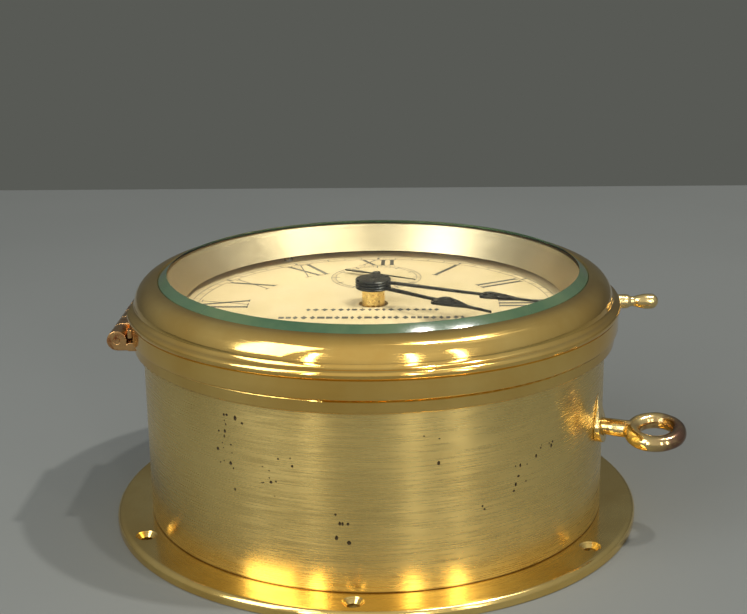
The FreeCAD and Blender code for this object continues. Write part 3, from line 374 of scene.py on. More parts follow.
def ink_material():
    """Printed black, a little worn."""
    s = Shader("dial_ink")
    s.put(Specular_IOR_Level=0.4)
    tone = s.noise(500.0, 4.0, 0.7)
    s.finish_colour(s.ramp(tone, ((0.35, (0.022, 0.020, 0.018)), (0.72, (0.085, 0.075, 0.06)))))
    s.feed("Roughness", s.span(tone, 0.35, 0.6, 0.3, 0.7))
    s.feed("Normal", s.bump(tone, 0.1, 0.00002))
    return s.material


def plate_brass_material():
    """Movement brass, spotted all over with small overlapping ground circles."""
    s = Shader("movement_spotted_brass")
    s.put(Metallic=1.0)
    spots = s.cells(420.0, randomness=0.15)
    tone = s.noise(60.0, 4.0, 0.6)
    s.finish_colour(s.ramp(tone, ((0.35, GOLD_DARK), (0.65, (0.84, 0.65, 0.28)))))
    s.feed("Roughness", s.span(spots, 0.16, 0.38, 0.0, 0.7))
    s.feed("Normal", s.bump(spots, 0.25, 0.00008))
    return s.material


def make_materials():
    return {
        "flange_brass": brass("flange_brass", GOLD_LIGHT, GOLD_DARK, rough=(0.09, 0.19), grain=0.2),
        # The drum's joints carry painted shade: darker bands at its foot and just under the body ring, for
        # the shadow in those gaps.
        "drum_brass": brass("drum_satin_brass", SATIN_LIGHT, SATIN_DARK, rough=(0.24, 0.31), grain=0.13,
                            anisotropic=0.8, patches=14.0, scratches=0.08, across=2900.0,
                            joints=((DRUM_LOW, DRUM_LOW + 0.9 * MM), (DRUM_HIGH, DRUM_HIGH - 1.5 * MM))),
        # Painted shade: ring_brass is the bezel's brass darkened by about an eighth, for the shadow under the
        # bezel's skirt.
        "ring_brass": brass("ring_brass", (0.82, 0.57, 0.18), (0.71, 0.44, 0.11), rough=(0.11, 0.2)),
        "bezel_brass": brass("bezel_brass", RICH_LIGHT, RICH_DARK, rough=(0.06, 0.14), scratches=0.15),
        "sight_brass": brass("sight_brass", (0.80, 0.65, 0.40), (0.71, 0.56, 0.32), rough=(0.32, 0.42),
                             grain=0.14, anisotropic=0.4, patches=18.0, scratches=0.05),
        "cover_brass": brass("cover_brass", SATIN_LIGHT, SATIN_DARK, rough=(0.3, 0.42), grain=0.3),
        "hinge_brass": tarnished("hinge_brass", (0.62, 0.36, 0.15), (0.26, 0.10, 0.04), (0.14, 0.34), 170.0),
        "key_brass": tarnished("key_brass", (0.88, 0.66, 0.28), (0.45, 0.26, 0.11), (0.10, 0.26), 80.0,
                               (LOCK_AXIS, KEY_END - 17 * MM, KEY_END - 5 * MM)),
        "fitting_brass": brass("fitting_brass", (0.90, 0.71, 0.34), (0.76, 0.56, 0.24),
                               rough=(0.15, 0.26), patches=90.0),
        "movement_brass": plate_brass_material(),
        "movement_steel": steel("movement_steel", (0.55, 0.55, 0.56), (0.42, 0.42, 0.44), (0.16, 0.3)),
        "hand_steel": steel("hand_steel", (0.060, 0.058, 0.050), (0.022, 0.022, 0.022), (0.22, 0.42)),
        "glass": glass_material(),
        "glass_edge": glass_edge_material(),
        "dial_paint": dial_material(),
        "dial_ink": ink_material(),
        "pit": pit_material(),
    }


def dress_cad_nodes(materials):
    """Every CAD node that stays takes the material of its record slot."""
    for entry in frame["record"]["subparts"]:
        node = NODES[entry["node"]]
        node.data.materials.clear()
        node.data.materials.append(materials[entry["material_slot"]])


# ================================================================ mesh helpers
SEGMENTS = 360
FINE_SEGMENTS = 512
SHARP_DEG = 32.0


def add_object(name, data):
    """A new object in the scene, holding this mesh, light or camera."""
    made = bpy.data.objects.new(name, data)
    bpy.context.scene.collection.objects.link(made)
    return made


def finish_mesh(name, mesh, body, materials, replaces=()):
    """Makes the piece's object, rides it on its body and hides the CAD nodes it stands for."""
    for material in materials:
        mesh.materials.append(material)
    mesh.shade_smooth()
    mesh.set_sharp_from_angle(angle=math.radians(SHARP_DEG))
    piece = add_object(name, mesh)
    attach(piece, body)
    if replaces:
        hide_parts(*replaces)
    return piece


def from_bmesh(name, bm):
    bmesh.ops.recalc_face_normals(bm, faces=bm.faces)
    mesh = bpy.data.meshes.new(name)
    bm.to_mesh(mesh)
    bm.free()
    return mesh


def applied(mesh, modifiers):
    """The mesh after these modifiers, each a (type, settings) pair."""
    holder = add_object("working", mesh)
    for kind, settings in modifiers:
        modifier = holder.modifiers.new(kind, kind)
        for key, value in settings.items():
            setattr(modifier, key, value)
    bpy.context.view_layer.update()
    result = bpy.data.meshes.new_from_object(holder.evaluated_get(bpy.context.evaluated_depsgraph_get()))
    bpy.data.objects.remove(holder)
    return result


def rounded(points, radius):
    """A closed outline with each corner rounded, as far as its edges allow."""
    steps = 3
    out = []
    count = len(points)
    for index, corner in enumerate(points):
        corner = Vector(corner)
        before = Vector(points[index - 1])
        after = Vector(points[(index + 1) % count])
        reach = min(radius, 0.45 * (before - corner).length, 0.45 * (after - corner).length)
        start = corner + (before - corner).normalized() * reach
        end = corner + (after - corner).normalized() * reach
        for step in range(steps + 1):
            t = step / steps
            out.append(start * (1 - t) ** 2 + corner * 2 * t * (1 - t) + end * t**2)
    return out


def lathe(name, profile, segments=SEGMENTS, centre=(0.0, 0.0)):
    """Turns a closed (radius, height) outline round an axis along Z."""
    bm = bmesh.new()
    rings = []
    for radius, height in profile:
        if radius < 1e-7:
            rings.append([bm.verts.new((centre[0], centre[1], height))])
            continue
        angles = [2 * math.pi * step / segments for step in range(segments)]
        rings.append([
            bm.verts.new((centre[0] + radius * math.cos(a), centre[1] + radius * math.sin(a), height))
            for a in angles
        ])
    for ring, following in zip(rings, rings[1:] + rings[:1]):
        if len(ring) == len(following) == 1:
            continue
        for step in range(segments):
            after = (step + 1) % segments
            corners = [ring[step % len(ring)], ring[after % len(ring)],
                       following[after % len(following)], following[step % len(following)]]
            bm.faces.new(list(dict.fromkeys(corners)))
    return from_bmesh(name, bm)


def worn_copy(node, voxel, smooth, rough_mm, rough_scale):
    """The node's shape with its edges worn round: a fine remesh, smoothed, with an uneven skin."""
    source = NODES[node].data.copy()
    modifiers = [
        ("REMESH", {"mode": "VOXEL", "voxel_size": voxel * MM}),
        ("SMOOTH", {"factor": 0.5, "iterations": smooth}),
    ]
    mesh = applied(source, modifiers)
    mesh.materials.clear()
    if rough_mm:
        skin = [(vertex.co.copy(), vertex.normal.copy()) for vertex in mesh.vertices]
        worn = []
        for place, outward in skin:
            swell = noise.noise(place * rough_scale) - 0.6
            worn.extend(place + outward * swell * rough_mm * MM)
        mesh.vertices.foreach_set("co", worn)
        mesh.update()
    return mesh


def prism(bm, outline, z0, z1):
    """A thin upright-sided solid on an (x, y) outline."""
    low = [bm.verts.new((x, y, z0)) for x, y in outline]
    high = [bm.verts.new((x, y, z1)) for x, y in outline]
    bm.faces.new(list(reversed(low)))
    bm.faces.new(high)
    for index in range(len(outline)):
        after = (index + 1) % len(outline)
        bm.faces.new([low[index], low[after], high[after], high[index]])


def flat_ring(bm, centre, inner, outer, z0, z1, segments=180):
    corners = []
    for step in range(segments):
        angle = 2 * math.pi * step / segments
        ray = Vector((math.cos(angle), math.sin(angle)))
        corners.append([
            bm.verts.new((centre[0] + ray.x * radius, centre[1] + ray.y * radius, z))
            for radius, z in ((inner, z0), (outer, z0), (outer, z1), (inner, z1))
        ])
    for step in range(segments):
        here, after = corners[step], corners[(step + 1) % segments]
        for side in range(4):
            follow = (side + 1) % 4
            bm.faces.new([here[side], here[follow], after[follow], after[side]])


# ================================================================ cutting tools
TOOL_SEGMENTS = 64


def round_tool(radius_low, radius_top, depth, places):
    """One cutter made of a tapered rod at each placing matrix, its axis along the matrix's Z."""
    bm = bmesh.new()
    for place in places:
        bmesh.ops.create_cone(bm, cap_ends=True, segments=TOOL_SEGMENTS, radius1=radius_low,
                              radius2=radius_top, depth=depth, matrix=place)
    return add_object("cutter", from_bmesh("cutter", bm))


def block(low, high):
    """A box-shaped cutter."""
    bm = bmesh.new()
    low, high = Vector(low), Vector(high)
    place = Matrix.Translation((low + high) / 2) @ Matrix.Diagonal((*(high - low), 1.0))
    bmesh.ops.create_cube(bm, size=1.0, matrix=place)
    return add_object("cutter", from_bmesh("cutter", bm))


def cut_with(mesh, tools):
    """The mesh with each tool taken away from it in turn."""
    cuts = [("BOOLEAN", {"operation": "DIFFERENCE", "object": tool, "solver": "MANIFOLD"}) for tool in tools]
    mesh = applied(mesh, cuts)
    for tool in tools:
        bpy.data.objects.remove(tool)
    mesh.materials.clear()
    return mesh


# ================================================================ flange
FLANGE_TOP = 4.5 * MM
FLANGE_EDGE = 2.3 * MM
FLANGE_OPENING_R = 84.0 * MM
COVER_SEAT_R = 88.2 * MM
COVER_SEAT_Z = 1.6 * MM
SPIGOT_RISE = 4.0 * MM
SPIGOT_WALL = 2.0 * MM
UNDER_CHAMFER = 0.3 * MM
BOLT_FIRST_DEG = 27.0
BOLT_SEAT_R = 4.0 * MM
BROKEN_EDGE = 0.25 * MM
EDGE_STEPS = 12


def cone_tool(spots, radius_top, radius_low, z_top, z_low):
    """Round tapered cutters standing at (x, y) spots."""
    middle = (z_top + z_low) / 2
    places = [Matrix.Translation((x, y, middle)) for x, y in spots]
    return round_tool(radius_low, radius_top, z_top - z_low, places)


def make_flange(materials):
    """Flange with a rolled rim, a spigot for the drum and six countersunk holes."""
    top, edge, bore = FLANGE_TOP, FLANGE_EDGE, DRUM_R - WALL
    quarter = [math.pi / 2 * step / EDGE_STEPS for step in range(EDGE_STEPS + 1)]
    rim = [(FLANGE_R - edge + edge * math.cos(a), top - edge + edge * math.sin(a)) for a in quarter]
    profile = [(FLANGE_R - UNDER_CHAMFER, 0.0), (FLANGE_R, UNDER_CHAMFER)] + rim + [
        (DRUM_R + 1.5 * MM, top), (DRUM_R, top), (bore, top), (bore, top + SPIGOT_RISE),
        (bore - SPIGOT_WALL, top + SPIGOT_RISE), (FLANGE_OPENING_R, top), (FLANGE_OPENING_R, COVER_SEAT_Z),
        (COVER_SEAT_R, COVER_SEAT_Z), (COVER_SEAT_R, 0.0),
    ]
    mount = next(m for m in frame["record"]["mounts"] if m["name"] == "flange_screws")
    circle, hole = mount["dims"]["pcd_mm"] * MM / 2, mount["dims"]["hole_r_mm"] * MM
    count = mount["dims"]["count"]
    turns = [math.radians(BOLT_FIRST_DEG + 360 / count * step) for step in range(count)]
    spots = [(circle * math.cos(a), circle * math.sin(a)) for a in turns]
    seat, broken = BOLT_SEAT_R, BROKEN_EDGE
    tools = [
        cone_tool(spots, hole, hole, top + MM, -MM),
        cone_tool(spots, seat + broken, hole - broken, top + broken, top - (seat - hole) - broken),
        cone_tool(spots, seat + 2 * broken, seat - broken, top + broken, top - 2 * broken),
    ]
    mesh = cut_with(lathe("flange", profile, FINE_SEGMENTS), tools)
    finish_mesh("flange_turned", mesh, "case", [materials["flange_brass"]], ["back_flange"])


# ================================================================ drum
# clusters of corrosion pits: degrees from 6 o'clock, height up the wall, spread of each, and count
PIT_CLUSTERS = (
    (-32.0, 0.77, 4.0, 0.16, 17), (-20.0, 0.66, 4.0, 0.10, 10), (-5.5, 0.36, 1.6, 0.09, 6),
    (-26.0, 0.55, 6.0, 0.08, 3), (12.0, 0.78, 5.0, 0.10, 3), (28.5, 0.42, 2.5, 0.04, 2),
    (36.5, 0.54, 2.5, 0.09, 7), (43.5, 0.66, 3.0, 0.06, 6),
    (118.0, 0.55, 12.0, 0.20, 9), (205.0, 0.40, 14.0, 0.18, 8), (-120.0, 0.66, 12.0, 0.16, 8),
)
PIT_SEED = 4
LOCK_HOLE_R = 4.4 * MM
LOCK_HOLE_DEEP = 12.0 * MM
LOCK_CLEAR = 5.5 * MM
DRUM_ROWS = 12


def pit_cutters(chance):
    """Small irregular balls, each half sunk in the drum's wall."""
    bm = bmesh.new()
    tall = DRUM_HIGH - DRUM_LOW
    for azimuth, height, wide, high, count in PIT_CLUSTERS:
        for _ in range(count):
            angle = math.radians(-90.0 + azimuth + chance.uniform(-wide, wide))
            z = DRUM_LOW + tall * (height + chance.uniform(-high, high))
            size = MM * (0.28 + 0.36 * chance.random() ** 2)
            z = min(max(z, DRUM_LOW + 2 * MM), DRUM_HIGH - 2 * MM)
            place = Vector((math.cos(angle) * DRUM_R, math.sin(angle) * DRUM_R, z))
            stretch = Matrix.Diagonal((1.0, chance.uniform(0.8, 1.2), chance.uniform(0.8, 1.7), 1.0))
            turn = Matrix.Rotation(angle, 4, "Z")
            matrix = Matrix.Translation(place) @ turn @ stretch
            made = bmesh.ops.create_icosphere(bm, subdivisions=2, radius=size, matrix=matrix)
            for vertex in made["verts"]:
                outward = vertex.co - place
                vertex.co = place + outward * (1.0 + 0.22 * noise.noise(vertex.co * 2600.0))
    return from_bmesh("pit_cutters", bm)


def make_drum(materials):
    """Drum wall with its pits and the way through for the lock; the pits take the oxide material."""
    inner = DRUM_R - WALL
    chamfer = 0.3 * MM
    rise = (DRUM_HIGH - DRUM_LOW - chamfer) / DRUM_ROWS
    heights = [DRUM_LOW + chamfer + rise * row for row in range(DRUM_ROWS + 1)]
    profile = [(inner, DRUM_LOW), (DRUM_R - chamfer, DRUM_LOW)]
    profile += [(DRUM_R, z) for z in heights] + [(inner, DRUM_HIGH)]
    pits = add_object("pit_cutters", pit_cutters(random.Random(PIT_SEED)))
    turn = LOCK_AXIS.to_track_quat("Z", "Y").to_matrix().to_4x4()
    way = round_tool(LOCK_HOLE_R, LOCK_HOLE_R, LOCK_HOLE_DEEP, [Matrix.Translation(LOCK_AT) @ turn])
    mesh = cut_with(lathe("drum_wall", profile), [way, pits])
    finish_mesh("drum_shell", mesh, "case", [materials["drum_brass"], materials["pit"]],
                ["case_drum"])
    for polygon in mesh.polygons:
        depth = DRUM_R - polygon.center.xy.length
        inside = 0.02 * MM < depth < WALL - 0.2 * MM
        upright = DRUM_LOW + MM < polygon.center.z < DRUM_HIGH - MM
        away = (polygon.center - LOCK_AT).length > LOCK_CLEAR
        polygon.material_index = 1 if inside and upright and away else 0


# ================================================================ bezel
def arc(start, middle, end, steps=14):
    """Points of the circle through three points, from after the start to the end."""
    (x1, y1), (x2, y2), (x3, y3) = start, middle, end
    twice = 2 * (x1 * (y2 - y3) + x2 * (y3 - y1) + x3 * (y1 - y2))
    s1, s2, s3 = x1**2 + y1**2, x2**2 + y2**2, x3**2 + y3**2
    cx = (s1 * (y2 - y3) + s2 * (y3 - y1) + s3 * (y1 - y2)) / twice
    cy = (s1 * (x3 - x2) + s2 * (x1 - x3) + s3 * (x2 - x1)) / twice
    radius = math.dist(start, (cx, cy))
    first, last = math.atan2(y1 - cy, x1 - cx), math.atan2(y3 - cy, x3 - cx)
    sweep = (last - first + math.pi) % (2 * math.pi) - math.pi
    angles = [first + sweep * step / steps for step in range(1, steps + 1)]
    return [(cx + radius * math.cos(a), cy + radius * math.sin(a)) for a in angles]


def bezel_outline():
    """Skirt, rounded lip, cove and ogee of the bezel in millimetres, then its inside."""
    outline = [(91.5, 79.8), (98.2, 79.8)]
    outline += arc((98.2, 79.8), (98.55, 79.95), (98.7, 80.3), 4)
    outline += [(98.7, 83.6), (98.7, 87.0), (98.2, 87.35), (98.9, 87.6)]
    outline += arc((98.9, 87.6), (99.5, 88.9), (98.9, 90.2))
    outline += [(97.6, 90.6)]
    outline += arc((97.6, 90.6), (96.7, 91.2), (96.2, 92.4))
    outline += arc((96.2, 92.4), (93.6, 97.7), (88.2, 100.35), 22)
    outline += [(87.3, 100.5)]
    outline += arc((87.3, 100.5), (86.65, 100.35), (86.35, 99.85), 6)
    outline += [(86.35, 98.0), (85.2, 98.0), (85.2, 93.0), (91.5, 93.0)]
    return [(radius * MM, height * MM) for radius, height in outline]


HINGE_FLAT_TOP = 92.8 * MM
LEAF_TONGUE = 3.6 * MM
LEAF_THICK = 3.5 * MM
LEAF_CLEAR = 0.35 * MM


def make_bezel(materials):
    """Bezel ring, cut to a flat behind the hinge and slotted for the leaf's tongue."""
    leaf_low, leaf_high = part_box("upper_hinge_leaf")
    flat_x = leaf_high[0] - LEAF_TONGUE
    half = leaf_high[1] + LEAF_CLEAR
    tools = [
        block((leaf_low[0] - MM, -half, leaf_low[2] - MM), (flat_x, half, HINGE_FLAT_TOP)),
        block((flat_x - MM, leaf_low[1], leaf_high[2] - LEAF_THICK), leaf_high),
    ]
    mesh = cut_with(lathe("bezel", bezel_outline(), FINE_SEGMENTS), tools)
    finish_mesh("bezel_turned", mesh, "bezel", [materials["bezel_brass"]], ["bezel_ring"])


# ================================================================ glass
BEVEL_IN = 3.3 * MM
BEVEL_DOWN = 2.3 * MM
LAP = 0.15 * MM


def make_glass(materials):
    radius = node_radius("glass")
    flat = radius - BEVEL_IN
    edge_z = GLASS_TOP - BEVEL_DOWN
    profile = [
        (0.0, GLASS_LOW), (flat, GLASS_LOW), (radius - LAP, GLASS_LOW), (radius, GLASS_LOW + LAP),
        (radius, edge_z - LAP), (radius - LAP, edge_z), (flat, GLASS_TOP), (flat - LAP, GLASS_TOP),
        (0.0, GLASS_TOP),
    ]
    mesh = lathe("glass", profile)
    finish_mesh("glass_pane", mesh, "bezel", [materials["glass"], materials["glass_edge"]],
                ["glass"])
    for polygon in mesh.polygons:
        outer = polygon.center.xy.length > flat - LAP
        polygon.material_index = 1 if outer and polygon.center.z > GLASS_LOW + LAP / 4 else 0


# ================================================================ dial printing
INK = 0.03 * MM
NUMERAL_IN = 51.0 * MM
NUMERAL_OUT = 71.0 * MM
TWELVE_IN = 61.5 * MM
TRACK_IN = 72.2 * MM
TRACK_OUT = 75.2 * MM
THICK = 1.7 * MM
THIN = 0.55 * MM
SERIF = 0.45 * MM
ORNAMENT_SEED = 9
ORNAMENT_ROWS = ((-9.0 * MM, 54.0 * MM, 3.6 * MM), (-20.0 * MM, 74.0 * MM, 4.4 * MM))
ROMAN = ("I", "II", "III", "IIII", "V", "VI", "VII", "VIII", "IX", "X", "XI", "XII")
GLYPH_WIDTH = {"I": 4.0 * MM, "V": 8.6 * MM, "X": 8.6 * MM}


def bar(low, high, wide):
    """A stroke from (u, v) to (u, v), cut off level at both ends."""
    half = wide / 2
    (low_u, low_v), (high_u, high_v) = low, high
    return [(low_u - half, low_v), (low_u + half, low_v), (high_u + half, high_v), (high_u - half, high_v)]


def glyph(letter, height):
    """Strokes of one numeral letter as (outline, layer), standing on v = 0, centred on u = 0."""
    top = height
    reach = GLYPH_WIDTH[letter] / 2 - 1.5 * MM
    foot = 1.55 * MM
    if letter == "I":
        strokes = [(bar((0, 0), (0, top), THICK), 2)]
        ends = [(0, 0), (0, top - SERIF)]
    elif letter == "V":
        strokes = [(bar((0.1 * MM, 0), (-reach, top), THICK), 2), (bar((0.1 * MM, 0), (reach, top), THIN), 1)]
        ends = [(-reach, top - SERIF), (reach, top - SERIF)]
    else:
        strokes = [(bar((reach, 0), (-reach, top), THICK), 2), (bar((-reach, 0), (reach, top), THIN), 1)]
        ends = [(-reach, 0), (reach, 0), (-reach, top - SERIF), (reach, top - SERIF)]
    for u, v in ends:
        strokes.append(([(u - foot, v), (u + foot, v), (u + foot, v + SERIF), (u - foot, v + SERIF)], 0))
    return strokes


def on_dial(u, v, degrees):
    """A point u across and v out from the centre, at a clock angle in degrees from 12."""
    angle = math.radians(degrees)
    return (v * math.sin(angle) + u * math.cos(angle), v * math.cos(angle) - u * math.sin(angle))


def print_numerals():
    bm = bmesh.new()
    for hour, numeral in enumerate(ROMAN, 1):
        inner = TWELVE_IN if hour == 12 else NUMERAL_IN
        height = NUMERAL_OUT - inner
        squeeze = 0.85 if len(numeral) > 3 else 1.0
        total = sum(GLYPH_WIDTH[letter] for letter in numeral) * squeeze
        left = -total / 2
        for letter in numeral:
            centre = left + GLYPH_WIDTH[letter] * squeeze / 2
            left += GLYPH_WIDTH[letter] * squeeze
            for outline, layer in glyph(letter, height):
                placed = [on_dial(centre + u * squeeze, inner + v, hour * 30.0) for u, v in outline]
                prism(bm, placed, DIAL_TOP, DIAL_TOP + INK * (1 + 0.2 * layer))
    return bm


def print_tracks():
    bm = bmesh.new()
    line = 0.14 * MM
    for radius in (TRACK_IN, TRACK_OUT):
        flat_ring(bm, (0, 0), radius - line, radius + line, DIAL_TOP, DIAL_TOP + INK)
    for minute in range(60):
        half = (0.5 if minute % 5 == 0 else 0.16) * MM
        outline = [(-half, TRACK_IN), (half, TRACK_IN), (half, TRACK_OUT), (-half, TRACK_OUT)]
        prism(bm, [on_dial(u, v, minute * 6.0) for u, v in outline], DIAL_TOP, DIAL_TOP + INK * 0.8)
    return bm


def print_seconds():
    bm = bmesh.new()
    outer, inner = 19.5 * MM, 17.6 * MM
    line = 0.11 * MM
    for radius in (inner, outer):
        flat_ring(bm, SECONDS_AT, radius - line, radius + line, DIAL_TOP, DIAL_TOP + INK, 120)
    for second in range(60):
        half = (0.28 if second % 5 == 0 else 0.10) * MM
        low = inner - (1.6 * MM if second % 5 == 0 else 0.0)
        outline = [(-half, low), (half, low), (half, outer), (-half, outer)]
        placed = [on_dial(u, v, second * 6.0) for u, v in outline]
        placed = [(x + SECONDS_AT.x, y + SECONDS_AT.y) for x, y in placed]
        prism(bm, placed, DIAL_TOP, DIAL_TOP + INK * 0.8)
    return bm


def print_ornament(chance):
    """Two rows of lozenges and dashes in place of a maker's lettering."""
    bm = bmesh.new()
    for y, width, tall in ORNAMENT_ROWS:
        x = -width / 2
        while x < width / 2:
            wide = chance.uniform(1.4, 3.0) * MM
            middle = x + wide / 2
            if chance.random() < 0.55:
                outline = [(x, y), (middle, y - tall / 2), (x + wide, y), (middle, y + tall / 2)]
            else:
                high = tall * 0.3
                outline = [(x, y - high), (x + wide, y - high), (x + wide, y + high), (x, y + high)]
            prism(bm, outline, DIAL_TOP, DIAL_TOP + INK)
            x += wide + chance.uniform(0.5, 1.0) * MM
    return bm


def make_dial_print(materials):
    prints = {
        "dial_numerals": print_numerals(), "dial_minute_track": print_tracks(),
        "dial_seconds_ring": print_seconds(), "dial_ornament": print_ornament(random.Random(ORNAMENT_SEED)),
    }
    for name, bm in prints.items():
        finish_mesh(name, from_bmesh(name, bm), "case", [materials["dial_ink"]])


# ================================================================ hands
def clock_angle(node, centre):
    """Clock angle in degrees of the node's point furthest from a centre."""
    spots = [vertex.co.xy - Vector(centre[:2]) for vertex in NODES[node].data.vertices]
    tip = max(spots, key=lambda spot: spot.length)
    return math.degrees(math.atan2(tip.x, tip.y)), tip.length


def curve(start, control, end, steps=8):
    """Points of a quadratic curve, without its start."""
    out = []
    for step in range(1, steps + 1):
        t = step / steps
        out.append(tuple(a * (1 - t) ** 2 + b * 2 * t * (1 - t) + c * t * t
                         for a, b, c in zip(start, control, end)))
    return out


def spade_outline(length, lobe, half_lobe, waist):
    """One side and its mirror image of a spade hand, along +v."""
    near = 6.3 * MM
    side = [(1.35 * MM, near), (0.85 * MM, lobe)]
    side += curve((0.85 * MM, lobe), (half_lobe * 1.05, lobe - 0.3 * MM), (half_lobe, lobe + 3.0 * MM))
    side += curve((half_lobe, lobe + 3.0 * MM), (half_lobe * 0.8, lobe + 9.0 * MM), (0.85 * MM, waist))
    side.append((0.25 * MM, length))
    return side + [(-u, v) for u, v in reversed(side)]


def blade(bm, outline, degrees, z0, z1, chamfer, centre=(0.0, 0.0)):
    """A flat hand with a chamfered upper edge."""
    count = len(outline)
    inset = []
    for index, (u, v) in enumerate(outline):
        before, after = Vector(outline[index - 1]), Vector(outline[(index + 1) % count])
        along = (after - before).normalized()
        inward = Vector((-along.y, along.x))
        depth = min(chamfer, abs(u) * 0.6)
        inset.append((u + inward.x * depth, v + inward.y * depth))
    rows = []
    for points, z in ((outline, z0), (outline, z1 - chamfer), (inset, z1)):
        placed = [on_dial(u, v, degrees) for u, v in points]
        rows.append([bm.verts.new((centre[0] + x, centre[1] + y, z)) for x, y in placed])
    bm.faces.new(list(reversed(rows[0])))
    bm.faces.new(rows[2])
    for row, above in zip(rows, rows[1:]):
        for index in range(count):
            after = (index + 1) % count
            bm.faces.new([row[index], row[after], above[after], above[index]])


def collet_profile(bore, radius, z0, z1):
    """Grooved boss."""
    middle = (z0 + z1) / 2
    groove, edge = 0.35 * MM, 0.3 * MM
    return [
        (bore, z0), (radius - edge, z0), (radius, z0 + edge), (radius, middle - groove),
        (radius - groove, middle), (radius, middle + groove), (radius, z1 - edge),
        (radius - edge, z1), (bore, z1),
    ]


# piece, CAD node, body, where the lobe starts, its half width, where it ends, blade low and high, bore
MAIN_HANDS = (
    ("hour_pointer", "hour_hand", "hour", 33.0, 5.0, 48.5, 91.1, 92.0, 2.55),
    ("minute_pointer", "minute_hand", "centre", 48.0, 4.1, 62.5, 93.2, 94.0, 1.5),
)
TIP_CLEAR = 0.05 * MM
COLLET_R = 7.25 * MM
SECONDS_TAIL = 15.7 * MM


def make_main_hand(materials, name, node, body, *sizes_mm):
    """A spade hand on its grooved boss, pointing where the CAD hand points."""
    lobe, half_lobe, waist, low, high, bore = (size * MM for size in sizes_mm)
    degrees, length = clock_angle(node, (0.0, 0.0))
    outline = spade_outline(length - TIP_CLEAR, lobe, half_lobe, waist)
    bm = bmesh.new()
    blade(bm, outline, degrees, low, high, 0.22 * MM)
    boss = lathe(name + "_boss", collet_profile(bore, COLLET_R, low_z(node), high_z(node)), 96)
    bm.from_mesh(boss)
    finish_mesh(name, from_bmesh(name, bm), body, [materials["hand_steel"]], [node])


def make_seconds_hand(materials):
    """Slim hand with a leaf-shaped tail."""
    node = "seconds_hand"
    z0 = low_z(node)
    degrees, length = clock_angle(node, SECONDS_AT)
    side = [(0.17 * MM, length - TIP_CLEAR), (0.6 * MM, 0.0), (0.5 * MM, -5.0 * MM)]
    side += curve((0.5 * MM, -5.0 * MM), (1.75 * MM, -10.5 * MM), (0.7 * MM, -SECONDS_TAIL), 6)
    outline = side + [(-u, v) for u, v in reversed(side)]
    bm = bmesh.new()
    lift = z0 + 0.45 * MM
    blade(bm, list(reversed(outline)), degrees, lift, lift + 0.42 * MM, 0.12 * MM, SECONDS_AT)
    profile = rounded([(0.0, z0), (1.85 * MM, z0), (1.85 * MM, high_z(node)), (0.0, high_z(node))], 0.35 * MM)
    boss = lathe("seconds_boss", [(max(r, 0.0), z) for r, z in profile], 48, (SECONDS_AT.x, SECONDS_AT.y))
    bm.from_mesh(boss)
    finish_mesh("seconds_pointer", from_bmesh("seconds", bm), "fourth",
                [materials["hand_steel"]], [node])


# ================================================================ fittings
# piece, CAD node, body, slot, voxel mm, smoothing passes, roughness mm, its scale per metre
WORN_FITTINGS = (
    ("key_handled", "bezel_key", "key", "key_brass", 0.24, 5, 0.22, 170.0),
    ("escutcheon_worn", "lock_escutcheon", "case", "fitting_brass", 0.20, 10, 0.05, 300.0),
    ("hinge_lower", "lower_hinge_leaf", "case", "hinge_brass", 0.20, 8, 0.08, 260.0),
    ("hinge_upper", "upper_hinge_leaf", "bezel", "hinge_brass", 0.20, 8, 0.08, 260.0),
    ("catch_bracket", "lock_catch", "bezel", "fitting_brass", 0.18, 3, 0.0, 1.0),
    ("hook_arm_filed", "hook_arm", "lock", "fitting_brass", 0.16, 3, 0.0, 1.0),
    ("knob_worn", "bezel_knob", "bezel", "fitting_brass", 0.16, 3, 0.05, 400.0),
)


def make_fittings(materials):
    for name, node, body, slot, voxel, smooth, rough, scale in WORN_FITTINGS:
        mesh = worn_copy(node, voxel, smooth, rough, scale)
        finish_mesh(name, mesh, body, [materials[slot]], [node])


# ================================================================ stage
AZIMUTH_DEG = 2.0
CAMERA_DISTANCE = 0.5573
CAMERA_HEIGHT = 0.2462
CAMERA_DOWN_DEG = 16.134
CAMERA_ROLL_DEG = 0.784
LENS_MM = 68.46
FLOOR_WIDE = 5.5
FLOOR_NEAR = 2.0
FLOOR_FAR = 0.67
ROOM_LIGHT_FROM = (0.0, -0.8, 0.6)
# the room's light, from directions facing away from ROOM_LIGHT_FROM (0) to those towards it (1)
ROOM = (
    (0.20, (0.098, 0.102, 0.091)), (0.42, (0.24, 0.25, 0.25)), (0.55, (0.29, 0.30, 0.30)),
    (0.80, (0.42, 0.43, 0.42)), (0.97, (0.60, 0.60, 0.57)),
)


def make_camera():
    data = bpy.data.cameras.new("camera")
    data.lens = LENS_MM
    data.sensor_width = 36.0
    data.clip_start = 0.01
    camera = add_object("camera", data)
    down = math.radians(CAMERA_DOWN_DEG)
    roll = math.radians(CAMERA_ROLL_DEG)
    forward = Vector((0.0, math.cos(down), -math.sin(down)))
    right = Vector((1.0, 0.0, 0.0))
    up = right.cross(forward)
    rolled_right = right * math.cos(roll) - up * math.sin(roll)
    rolled_up = up * math.cos(roll) + right * math.sin(roll)
    pose = Matrix((rolled_right, rolled_up, -forward)).transposed().to_4x4()
    pose.translation = Vector((0.0, -CAMERA_DISTANCE, CAMERA_HEIGHT))
    camera.matrix_world = Matrix.Rotation(math.radians(AZIMUTH_DEG), 4, "Z") @ pose
    bpy.context.scene.camera = camera


AIM = (0.0, 0.0, 0.05)
